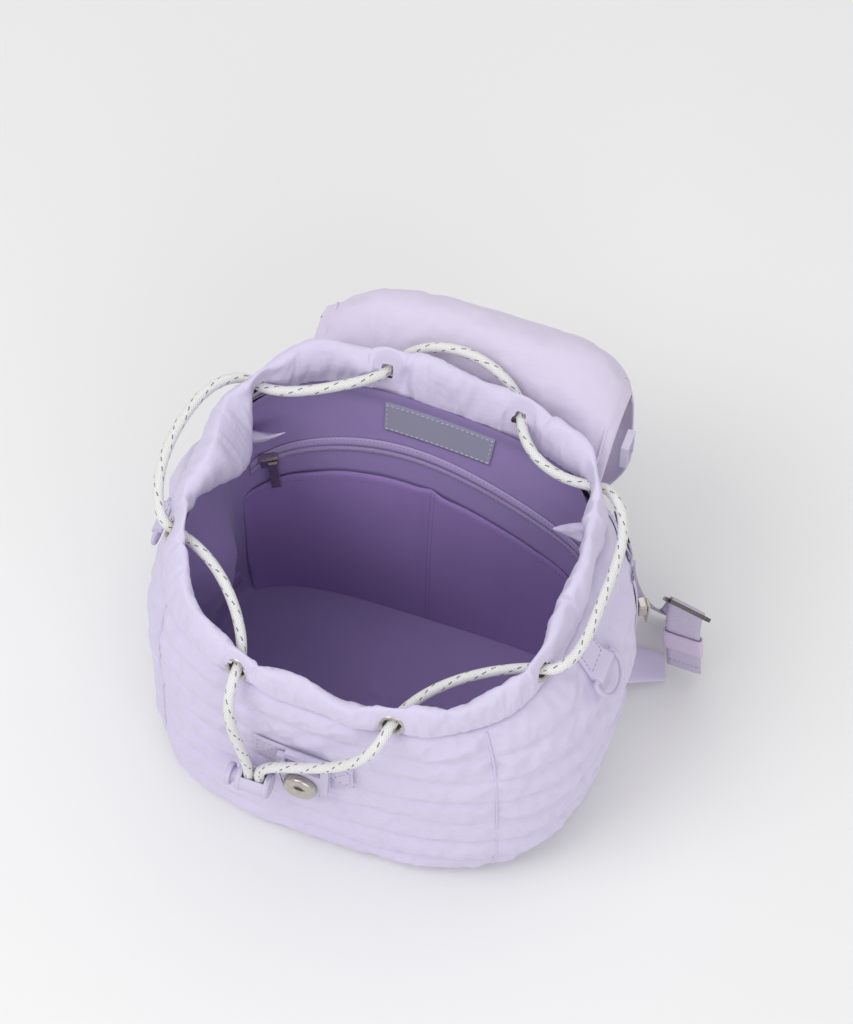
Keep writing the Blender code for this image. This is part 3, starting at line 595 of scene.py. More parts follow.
def close_ends(thing: bpy.types.Object) -> bpy.types.Object:
    """Fill the open ends of a skin and turn its faces outwards."""
    mesh = bmesh.new()
    mesh.from_mesh(thing.data)
    bmesh.ops.holes_fill(mesh, edges=[e for e in mesh.edges if e.is_boundary])
    bmesh.ops.recalc_face_normals(mesh, faces=mesh.faces)
    mesh.to_mesh(thing.data)
    mesh.free()
    return thing


def tube(name: str, path: Points, radius: float, sides: int, wrap: bool = False) -> bpy.types.Object:
    """Round tube along a path, with a UV map along and around it.

    Args:
        name: The piece's name.
        path: The centreline.
        radius: The tube's radius.
        sides: Faces round it.
        wrap: Whether the path closes on itself.

    Returns:
        The new object.
    """
    count = len(path)
    normal = Vector((0, 0, 1))
    columns = []
    for i, p in enumerate(path):
        after = path[(i + 1) % count] if wrap else path[min(i + 1, count - 1)]
        before = path[i - 1] if wrap or i else p
        ahead = (after - before).normalized()
        normal = (normal - ahead * normal.dot(ahead)).normalized()
        other = ahead.cross(normal)
        angles = [2 * pi * k / sides for k in range(sides)]
        columns.append([p + (normal * cos(a) + other * sin(a)) * radius for a in angles])
    rows = [[ring[k] for ring in columns] for k in range(sides)]
    thing = grid(name, rows, wrap=wrap, close=True)
    return thing if wrap else close_ends(thing)


def lathe(name: str, profile: Sequence[tuple[float, float]], place: Matrix, steps: int = 48,
          ring: bool = True) -> bpy.types.Object:
    """Body turned about the Z axis of a place.

    Args:
        name: The piece's name.
        profile: Radius and height of each point of the outline.
        place: Where the body goes.
        steps: Faces round it.
        ring: Whether the outline closes on itself.

    Returns:
        The new object.
    """
    rows = []
    for radius, height in profile:
        angles = [2 * pi * k / steps for k in range(steps)]
        rows.append([place @ Vector((radius * cos(a), radius * sin(a), height)) for a in angles])
    return grid(name, rows, wrap=True, close=ring)


def plate(name: str, size: Vector, place: Matrix, slots: Sequence[tuple[float, float, float, float]],
          edge: float, corner: float = 0.0) -> bpy.types.Object:
    """Flat plate with rounded edges and rectangular slots.

    Args:
        name: The piece's name.
        size: Its width, height and thickness.
        place: Its middle, with its thickness along Z.
        slots: Middle x and y, width and height of each slot.
        edge: Radius of its edges.
        corner: Radius of its corners.

    Returns:
        The new object.
    """
    xs = {-size.x / 2, size.x / 2}
    ys = {-size.y / 2, size.y / 2}
    for x, y, width, height in slots:
        xs |= {x - width / 2, x + width / 2}
        ys |= {y - height / 2, y + height / 2}
    xs, ys = sorted(xs), sorted(ys)
    mesh = bmesh.new()
    corners = {(x, y): mesh.verts.new((x, y, 0)) for x in xs for y in ys}
    for left, right in zip(xs, xs[1:]):
        for low, high in zip(ys, ys[1:]):
            mx, my = (left + right) / 2, (low + high) / 2
            if any(abs(mx - x) < w / 2 and abs(my - y) < h / 2 for x, y, w, h in slots):
                continue
            mesh.faces.new([corners[p] for p in ((left, low), (right, low), (right, high), (left, high))])
    bmesh.ops.delete(mesh, geom=[v for v in mesh.verts if not v.link_faces], context="VERTS")
    if corner:
        ends = [corners[(x, y)] for x in (xs[0], xs[-1]) for y in (ys[0], ys[-1])]
        bmesh.ops.bevel(mesh, geom=ends, offset=corner, segments=5, affect="VERTICES")
    grown = bmesh.ops.extrude_face_region(mesh, geom=list(mesh.faces))
    raised = [v for v in grown["geom"] if isinstance(v, bmesh.types.BMVert)]
    bmesh.ops.translate(mesh, verts=raised, vec=(0, 0, size.z))
    bmesh.ops.translate(mesh, verts=mesh.verts, vec=(0, 0, -size.z / 2))
    bmesh.ops.recalc_face_normals(mesh, faces=mesh.faces)
    data = bpy.data.meshes.new(name)
    mesh.to_mesh(data)
    mesh.free()
    data.transform(place)
    data.shade_smooth()
    thing = link(name, data)
    bevel = thing.modifiers.new("edges", "BEVEL")
    bevel.width, bevel.segments, bevel.limit_method = edge, 3, "ANGLE"
    bevel.harden_normals = True
    return thing


def join(name: str, things: Sequence[bpy.types.Object]) -> bpy.types.Object:
    """One object from several, with their modifiers applied."""
    graph = bpy.context.evaluated_depsgraph_get()
    mesh = bmesh.new()
    for thing in things:
        data = bpy.data.meshes.new_from_object(thing.evaluated_get(graph))
        mesh.from_mesh(data)
        bpy.data.meshes.remove(data)
        bpy.data.objects.remove(thing)
    data = bpy.data.meshes.new(name)
    mesh.to_mesh(data)
    mesh.free()
    data.shade_smooth()
    data.set_sharp_from_angle(angle=radians(50))
    return link(name, data)


@dataclass(frozen=True)
class Ribbon:
    """Webbing or folded cloth that follows a path, with softly rounded edges."""

    width: float
    thickness: float
    steps: int = 10
    columns: int = 8

    def lay(self, name: str, points: Points, across: Points) -> bpy.types.Object:
        """Lay the ribbon.

        Args:
            name: The piece's name.
            points: The chosen points of its middle line.
            across: The direction of its width at each of them.

        Returns:
            The new object.
        """
        path, sides = curve_through(points, self.steps), curve_through(across, self.steps)
        last = len(path) - 1
        outline = [(-1 + 2 * k / self.columns, 1) for k in range(self.columns + 1)]
        outline += [(x, -1) for x, _ in outline[::-1]]
        rows = [[] for _ in outline]
        for i, (p, side) in enumerate(zip(path, sides)):
            ahead = (path[min(i + 1, last)] - path[max(i - 1, 0)]).normalized()
            half = side.normalized() * (self.width / 2)
            face = ahead.cross(half).normalized() * (self.thickness / 2)
            for row, (x, z) in zip(rows, outline):
                thin = 1 - 0.45 * abs(x) ** 6
                row.append(p + half * x + face * z * thin)
        return grid(name, rows, close=True)


@dataclass
class Needle:
    """Runs of stitches, gathered into one piece."""

    length: float = 2.6 * MM
    pitch: float = 3.7 * MM
    radius: float = 0.3 * MM
    sides: int = 5
    waist: float = 0.55
    sink: float = 0.8
    verts: list = field(default_factory=list)
    faces: list = field(default_factory=list)

    def run(self, points: Points, normals: Points) -> None:
        """Sew along a path.

        Args:
            points: The path's points.
            normals: The cloth's outward direction at each of them.
        """
        lengths = [0.0]
        for p, q in zip(points, points[1:]):
            lengths.append(lengths[-1] + (q - p).length)
        count = int(lengths[-1] / self.pitch)
        j = 0
        for i in range(count):
            middle = (i + 0.5) * lengths[-1] / count
            while j < len(points) - 2 and lengths[j + 1] < middle:
                j += 1
            share = (middle - lengths[j]) / max(lengths[j + 1] - lengths[j], 1e-9)
            ahead = (points[j + 1] - points[j]).normalized()
            self.stitch(points[j].lerp(points[j + 1], share), ahead, normals[j])

    def stitch(self, middle: Vector, ahead: Vector, normal: Vector) -> None:
        """Add one stitch, a spindle that lies on the cloth."""
        other = ahead.cross(normal).normalized()
        start, sides = len(self.verts), self.sides
        half = self.length / 2
        self.verts.append(middle - ahead * half - normal * self.radius * self.sink)
        for share in (-self.waist, self.waist):
            for k in range(sides):
                a = 2 * pi * k / sides
                ring = normal * cos(a) + other * sin(a)
                self.verts.append(middle + ahead * half * share + ring * self.radius)
        self.verts.append(middle + ahead * half - normal * self.radius * self.sink)
        first, second = start + 1, start + 1 + sides
        for k in range(sides):
            m = (k + 1) % sides
            self.faces.append((start, first + m, first + k))
            self.faces.append((first + k, first + m, second + m, second + k))
            self.faces.append((second + k, second + m, second + sides))

    def piece(self, name: str, finish: object, slot: Slot) -> bpy.types.Object:
        """All the runs so far as one piece that rides on the bag."""
        mesh = bpy.data.meshes.new(name)
        mesh.from_pydata([tuple(v) for v in self.verts], [], self.faces)
        mesh.shade_smooth()
        return seat(dress(link(name, mesh), finish, slot))


@dataclass(frozen=True)
class Filling:
    """Cloth simulation that puffs a skin up between its stitches."""

    pressure: float = 3.0
    ease: float = 0.05
    frames: int = 14
    cap: float = 4 * MM
    stiffness: float = 8.0
    shear_share: float = 0.5
    bending: float = 0.04
    mass: float = 0.12
    damping: float = 3.0
    quality: int = 4

    def puff(self, thing: bpy.types.Object, held: Sequence[float]) -> None:
        """Fill a skin and apply the result.

        Args:
            thing: The skin, a mesh whose normals face outwards.
            held: How firmly each point is sewn down, from 0 to 1.
        """
        group = thing.vertex_groups.new(name="sewn")
        for i, weight in enumerate(held):
            if weight > 0:
                group.add([i], weight, "REPLACE")
        cloth = thing.modifiers.new("filling", "CLOTH")
        settings = cloth.settings
        settings.quality = self.quality
        settings.mass = self.mass
        settings.tension_stiffness = settings.compression_stiffness = self.stiffness
        settings.shear_stiffness = self.stiffness * self.shear_share
        settings.bending_stiffness = self.bending
        settings.air_damping = self.damping
        settings.use_pressure = True
        settings.uniform_pressure_force = self.pressure
        settings.shrink_min = -self.ease
        settings.vertex_group_mass = group.name
        settings.effector_weights.gravity = 0
        cloth.collision_settings.use_collision = False
        cloth.point_cache.frame_end = self.frames
        start = np.array([v.co for v in thing.data.vertices])
        for step in range(1, self.frames + 1):
            bpy.context.scene.frame_set(step)
        graph = bpy.context.evaluated_depsgraph_get()
        puffed = np.array([v.co for v in thing.evaluated_get(graph).data.vertices])
        moved = puffed - start
        length = np.linalg.norm(moved, axis=1, keepdims=True)
        moved *= self.cap * np.tanh(length / self.cap) / np.maximum(length, 1e-9)
        thing.modifiers.remove(cloth)
        thing.vertex_groups.remove(group)
        thing.data.vertices.foreach_set("co", (start + moved).ravel())
        thing.data.update()
        bpy.context.scene.frame_set(1)


# The wall that everything sits on.


def swing(turn: float, start: float) -> float:
    """Degrees from one turn to another, from -180 to 180."""
    return (turn - start + 180) % 360 - 180


@dataclass(frozen=True, eq=False)
class Wall:
    """Padded wall's outer face, with the tables that shape it."""

    half_width: float = 150 * MM
    half_depth: float = 110 * MM
    height: float = 230 * MM
    up_to_back: float = 27 * MM
    up_to_left: float = 10 * MM
    padding: float = 11 * MM
    groove: float = 5.5 * MM
    seam: float = 3.0 * MM
    channels: int = 7
    band_foot: float = 0.865
    base: float = 8 * MM
    lining: float = 1.2 * MM
    seams: tuple[float, ...] = (-40.0, 35.0, 145.0, 214.0)
    seam_spread: float = 3.0
    most_dip: float = 0.62
    columns: tuple[str, ...] = ("rise", "left", "right", "front", "back", "padding", "square")
    sections: tuple[tuple[float, ...], ...] = (
        (0.00, 0.880, 0.915, 0.985, 0.730, 0.75, 1.00),
        (0.05, 0.955, 1.010, 1.055, 0.775, 0.95, 1.00),
        (0.15, 0.985, 1.070, 1.075, 0.790, 1.00, 1.00),
        (0.30, 0.985, 1.090, 1.065, 0.805, 1.00, 0.98),
        (0.50, 0.985, 1.100, 1.055, 0.845, 1.00, 0.96),
        (0.70, 0.975, 1.050, 1.050, 0.915, 0.85, 0.93),
        (0.84, 0.925, 0.935, 1.040, 0.985, 0.60, 0.90),
        (0.92, 0.885, 0.885, 1.030, 1.030, 0.60, 0.87),
        (1.00, 0.820, 0.865, 1.010, 1.080, 0.60, 0.84),
    )
    front_left: float = 3.1
    front_right: float = 2.85
    back_right: float = 4.4
    back_left: float = 3.4
    # Each dent's turn, rise, spread in turn, spread in rise, lean, and share of the padding.
    dents: tuple[tuple[float, ...], ...] = (
        (-20.0, 0.62, 16.0, 0.035, 0.004, 0.30),
        (-5.0, 0.45, 18.0, 0.030, 0.005, 0.28),
        (12.0, 0.28, 15.0, 0.030, 0.004, 0.24),
        (-118.0, 0.20, 20.0, 0.040, 0.002, 0.20),
        (-75.0, 0.66, 18.0, 0.035, -0.002, 0.22),
        (188.0, 0.55, 14.0, 0.040, 0.003, 0.26),
    )

    @lru_cache(maxsize=None)
    def section(self, rise: float, name: str) -> float:
        """Named value of the wall's section, on a smooth curve through the table's rows.

        Args:
            rise: Share of the wall's height.
            name: A column of the table.

        Returns:
            The value there.
        """
        rows, place = self.sections, self.columns.index(name)
        last = len(rows) - 1
        index = 0
        while index < last - 1 and rise > rows[index + 1][0]:
            index += 1
        low, high = rows[index], rows[index + 1]
        before, after = rows[max(index - 1, 0)], rows[min(index + 2, last)]
        span = high[0] - low[0]
        t = min(max((rise - low[0]) / span, 0.0), 1.0)
        slope_low = (high[place] - before[place]) / (high[0] - before[0]) * span
        slope_high = (after[place] - low[place]) / (after[0] - low[0]) * span
        return (
            low[place] * (2 * t**3 - 3 * t**2 + 1) + slope_low * (t**3 - 2 * t**2 + t)
            + high[place] * (3 * t**2 - 2 * t**3) + slope_high * (t**3 - t**2)
        )

    def rim(self, turn: float) -> float:
        """Height of the open top in a direction."""
        a = radians(turn)
        return self.height + self.up_to_back * sin(a) - self.up_to_left * cos(a)

    def plan(self, turn: float, rise: float) -> Vector:
        """Point of the outer face, with no offset."""
        a = radians(turn)
        c, s = cos(a), sin(a)
        side = "right" if c >= 0 else "left"
        face = "back" if s >= 0 else "front"
        reach_x = self.half_width * self.section(rise, side)
        reach_y = self.half_depth * self.section(rise, face)
        n = getattr(self, face + "_" + side) * self.section(rise, "square")
        radius = ((abs(c) / reach_x) ** n + (abs(s) / reach_y) ** n) ** (-1 / n)
        return Vector((radius * c, radius * s, rise * self.rim(turn)))

    def point(self, turn: float, rise: float, out: float = 0.0) -> Vector:
        """Point at a level distance outside the outer face."""
        step = 0.5
        along = self.plan(turn + step, rise) - self.plan(turn - step, rise)
        outward = Vector((along.y, -along.x, 0)).normalized()
        return self.plan(turn, rise) + outward * out

    def place(self, turn: float, rise: float, out: float = 0.0) -> Matrix:
        """Place on the wall: X along it, Y up it and Z straight out of it."""
        step, lift = 0.5, 0.01
        along = (self.plan(turn + step, rise) - self.plan(turn - step, rise)).normalized()
        up = self.plan(turn, rise + lift) - self.plan(turn, rise - lift)
        up = (up - along * up.dot(along)).normalized()
        outward = along.cross(up)
        matrix = Matrix((along, up, outward)).transposed().to_4x4()
        matrix.translation = self.plan(turn, rise) + outward * out
        return matrix

    def outward(self, turn: float, rise: float) -> Vector:
        """Direction straight out of the wall."""
        return self.place(turn, rise).to_3x3().col[2]

    def inner(self, rise: float, further: float = 0.0) -> float:
        """Offset of the inner face, or of a skin that lies further in."""
        return -(self.padding * self.section(rise, "padding") + further)

    def dip(self, turn: float, rise: float) -> float:
        """How far the quilting, the corner seams and the dents pull the outer face in."""
        swell = abs(sin(pi * rise / self.band_foot * self.channels)) ** 0.6
        dip = self.groove * (1 - swell)
        for seam in self.seams:
            gap = abs(swing(turn, seam))
            dip = max(dip, self.seam * exp(-((gap / self.seam_spread) ** 2)))
        for where, level, spread, rise_spread, lean, depth in self.dents:
            across = swing(turn, where)
            near = (across / spread) ** 2 + ((rise - level - lean * across) / rise_spread) ** 2
            dip += self.padding * depth * exp(-near) * swell
        return min(dip, self.padding * self.most_dip)

    def on_lining(self, turn: float, rise: float, further: float) -> Vector:
        """Point a clearance and a distance further in than the lining."""
        return self.point(turn, rise, self.inner(rise, 3 * GAP + self.lining + further))


WALL = Wall()


def wrinkle(p: Vector, scale: float, seed: float = 0.0) -> float:
    """Smooth noise from -1 to 1 at a place, with spots to a metre."""
    return noise.noise(Vector((p.x * scale + seed, p.y * scale - seed, p.z * scale + 2 * seed)))


# Camera, lights and floor.


@dataclass
class Studio:
    """Camera at the photograph's angle, soft light and a plain pale floor."""

    azimuth: float = 20.0
    elevation: float = 57.0
    distance: float = 1905 * MM
    target: Vector = field(default_factory=lambda: Vector((-0.3, 88.7, 120)) * MM)
    lens: float = 98.4
    sensor: float = 36.0
    surroundings: float = 0.66
    aim: Vector = field(default_factory=lambda: Vector((0, 0, 0.1)))
    # Name, place, length of side and power of each light.
    lights: tuple[tuple[str, Colour, float, float], ...] = (
        ("key", (-0.9, -0.9, 2.0), 1.2, 17),
        ("fill", (1.2, -1.6, 1.3), 1.6, 12),
        ("top", (0.1, 0.9, 2.2), 1.6, 6),
    )
    floor_half: float = 6.0

    def set_camera(self) -> None:
        """Make the scene's camera."""
        a, e = radians(self.azimuth), radians(self.elevation)
        back = Vector((sin(a) * cos(e), -cos(a) * cos(e), sin(e)))
        data = bpy.data.cameras.new("camera")
        data.lens, data.sensor_width = self.lens, self.sensor
        camera = link("camera", data)
        camera.location = self.target + back * self.distance
        camera.rotation_euler = (-back).to_track_quat("-Z", "Y").to_euler()
        data.clip_end = 20
        bpy.context.scene.camera = camera

    def add_light(self, name: str, place: Colour, size: float, watts: float) -> None:
        """Add a square soft light that faces the bag.

        Args:
            name: The light's name.
            place: Where it stands.
            size: Length of its side.
            watts: Its power.
        """
        data = bpy.data.lights.new(name, "AREA")
        data.size, data.energy = size, watts
        light = link(name, data)
        light.location = place
        light.rotation_euler = (self.aim - light.location).to_track_quat("-Z", "Y").to_euler()

    def light_and_floor(self) -> None:
        """Lights, even surroundings and the floor."""
        world = bpy.data.worlds.new("studio")
        bpy.context.scene.world = world
        world.use_nodes = True
        background = world.node_tree.nodes["Background"]
        background.inputs[0].default_value = (1.0, 1.0, 1.0, 1)
        background.inputs[1].default_value = self.surroundings
        for light in self.lights:
            self.add_light(*light)
        bpy.context.scene.view_settings.view_transform = "Standard"
        half = self.floor_half
        corners = [[Vector((x, y, 0)) for x in (-half, half)] for y in (-half, half)]
        floor = grid("floor", corners)
        graph = Graph("pale_floor")
        cloud = graph.grain(graph.place(), 3, 2)
        floor.data.materials.append(graph.finish({
            "Base Color": graph.blend(cloud, (0.82, 0.82, 0.82), (0.83, 0.83, 0.83)),
            "Roughness": 0.9,
            "Specular IOR Level": 0.1,
        }))


# Hardware of the drawcord.


@dataclass
class Eyelets:
    """Nickel eyelets of the hem, measured on the CAD's own."""

    radius: float = 9.0 * MM
    bore: float = 5.6 * MM
    thickness: float = 5.0 * MM
    order: tuple[str, ...] = (
        "front_left", "left_front", "left_back", "back_left",
        "back_right", "right_back", "right_front", "front_right",
    )
    places: dict[str, Matrix] = field(default_factory=dict)

    def measure(self) -> None:
        """Find each eyelet's middle and axis."""
        for name in self.order:
            points = np.array([v.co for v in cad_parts["eyelet_" + name].data.vertices])
            middle = (points.min(0) + points.max(0)) / 2
            axis = Vector(np.linalg.svd(points - points.mean(0), full_matrices=False)[2][2])
            if axis.dot(Vector(middle) - Vector((0, 0, middle[2]))) < 0:
                axis = -axis
            place = axis.to_track_quat("Z", "Y").to_matrix().to_4x4()
            place.translation = Vector(points.mean(0))
            self.places[name] = place

    def build(self) -> None:
        """Turned rings with a rolled lip."""
        r, b, t = self.radius, self.bore, self.thickness / 2
        profile = [
            (r, t * 0.55), (r * 0.97, t * 0.85), (r * 0.88, t), (r * 0.76, t * 0.95), (b * 1.04, t * 0.6),
            (b, t * 0.3), (b, -t * 0.3), (b * 1.04, -t * 0.6), (r * 0.76, -t * 0.95), (r * 0.88, -t),
            (r * 0.97, -t * 0.85), (r, -t * 0.55),
        ]
        for name, place in self.places.items():
            ring = dress(lathe("ring_" + name, profile, place), NICKEL, Slot.NICKEL)
            seat(ring, "eyelet_" + name)


@dataclass
class Drawcord:
    """White braided cord through the eyelets, with both ends in the cord lock."""

    diameter: float = 7.0 * MM
    knots: int = 112
    reach: float = 6 * MM
    easing: int = 60
    ease_share: float = 0.08
    slant: float = 0.5
    smoothing: int = 5
    sides: int = 16
    # Chosen points before, between and after the eyelets, in millimetres.
    legs: tuple[tuple[Colour, ...], ...] = (
        ((-44.8, -127.5, 81), (-44.8, -127.5, 91), (-44.8, -127.5, 101), (-46, -129, 120),
         (-49, -130, 145), (-53, -130, 170), (-56, -126, 188)),
        ((-61, -84, 201), (-73, -71, 211), (-88, -58, 216), (-102, -44, 213)),
        ((-142, -27, 227), (-147, -6, 229), (-148, 16, 231), (-145, 38, 234), (-140, 60, 237),
         (-132, 77, 239)),
        ((-97, 68, 234), (-85, 74, 239), (-70, 83, 244), (-55, 89, 247), (-42, 93, 246)),
        ((-34, 125, 246), (-16, 129, 252), (12, 130, 253), (38, 129, 249), (54, 125, 241)),
        ((60, 93, 236), (71, 88, 236), (84, 81, 231), (95, 75, 224)),
        ((136, 85, 220), (143, 68, 217), (145, 40, 212), (145, 12, 207), (144, -14, 202),
         (142, -36, 201)),
        ((107, -40, 191), (97, -48, 188), (84, -59, 185), (68, -71, 183), (54, -80, 183)),
        ((49, -124, 185), (40, -128, 175), (22, -130, 156), (2, -130.5, 139),
         (-15, -130.5, 128), (-28, -129.5, 119), (-35, -128.3, 110), (-37.2, -127.5, 101),
         (-37.2, -127.5, 91), (-37.2, -127.5, 81)),
    )

    def route(self, eyelets: Eyelets) -> Points:
        """Centreline through the eyelets, eased where it bends.

        Args:
            eyelets: The measured eyelets.

        Returns:
            The centreline's points.
        """
        knots = [Vector(p) * MM for p in self.legs[0]]
        pins = []
        for i, name in enumerate(eyelets.order):
            place = eyelets.places[name]
            centre, axis = place.translation, place.to_3x3().col[2]
            reach = axis * self.reach * (1 if i % 2 == 0 else -1)
            knots += [centre + reach, centre.copy(), centre - reach]
            knots += [Vector(p) * MM for p in self.legs[i + 1]]
            pins.append((centre, axis))
        path = even_path(knots, self.knots)
        held = {0, 1, 2, self.knots - 3, self.knots - 2, self.knots - 1}
        guided = {}
        for centre, axis in pins:
            nearest = min(range(self.knots), key=lambda k: (path[k] - centre).length)
            path[nearest] = centre.copy()
            held.add(nearest)
            guided[nearest - 1] = guided[nearest + 1] = (centre, axis)
        for _ in range(self.easing):
            eased = list(path)
            for i in range(2, self.knots - 2):
                if i in held:
                    continue
                bend = path[i - 2] + path[i + 2] - 4 * (path[i - 1] + path[i + 1]) + 6 * path[i]
                eased[i] = path[i] - bend * self.ease_share
                if i in guided:
                    eased[i] = self.near_axis(eased[i], *guided[i])
            path = eased
        return curve_through(path, self.smoothing)

    def near_axis(self, point: Vector, centre: Vector, axis: Vector) -> Vector:
        """Point moved to within the cord's slant of an eyelet's axis."""
        along = axis * (point - centre).dot(axis)
        aside = point - centre - along
        most = along.length * self.slant
        return centre + along + aside * min(1.0, most / max(aside.length, 1e-9))

    def build(self, eyelets: Eyelets) -> None:
        path = self.route(eyelets)
        cord = tube("braided_cord", path, self.diameter / 2, self.sides)
        dress(cord, CORD, Slot.CORD)
        seat(cord, "drawcord")
        length = path_length(path)
        tuple(path[0])
        [tuple(p) for p in path]
        log.info("drawcord %.0f mm", length / MM)


@dataclass
class CordLock:
    """Spring cord lock on the front, with its ribbed barrel and plunger."""

    centre: Vector = field(default_factory=lambda: Vector((-41, -127.5, 89)) * MM)
    radius: float = 8.5 * MM
    length: float = 23 * MM
    cap: float = 3.5 * MM
    cap_radius: float = 7.5 * MM
    travel: float = 3 * MM
    rib_inset: float = 2.2 * MM
    rib_outline: tuple[tuple[float, float], ...] = (
        (-0.4, -1.5), (0.5, -1.1), (0.8, 0.0), (0.5, 1.1), (-0.4, 1.5),
    )

    def build(self) -> None:
        """Dress the CAD's barrel and plunger, and add their ribs."""
        for node in ("cord_lock_barrel", "cord_lock_plunger"):
            dress(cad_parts[node], PLASTIC)
        lie = Matrix.Translation(self.centre) @ Matrix.Rotation(radians(-90), 4, "Y")
        ends = []
        for sign in (-1, 1):
            middle = sign * (self.length / 2 - self.rib_inset)
            profile = [(self.radius + out * MM, middle + along * MM) for out, along in self.rib_outline]
            ends.append(lathe("rib", profile, lie))
        collar = dress(join("lock_collars", ends), PLASTIC, Slot.PLASTIC)
        seat(collar)
        top = self.length / 2 + self.travel + MM + self.cap
        r = self.cap_radius
        profile = [
            (0.05 * MM, top + 0.9 * MM), (r * 0.5, top + 0.8 * MM), (r * 0.85, top + 0.4 * MM),
            (r + 0.3 * MM, top - 0.6 * MM), (r + 0.3 * MM, top - self.cap + 0.6 * MM),
            (r - 0.2 * MM, top - self.cap),
        ]
        button = dress(lathe("lock_button", profile, lie, ring=False), PLASTIC, Slot.PLASTIC)
        seat(button, body=Body.PLUNGER)


# The padded body.


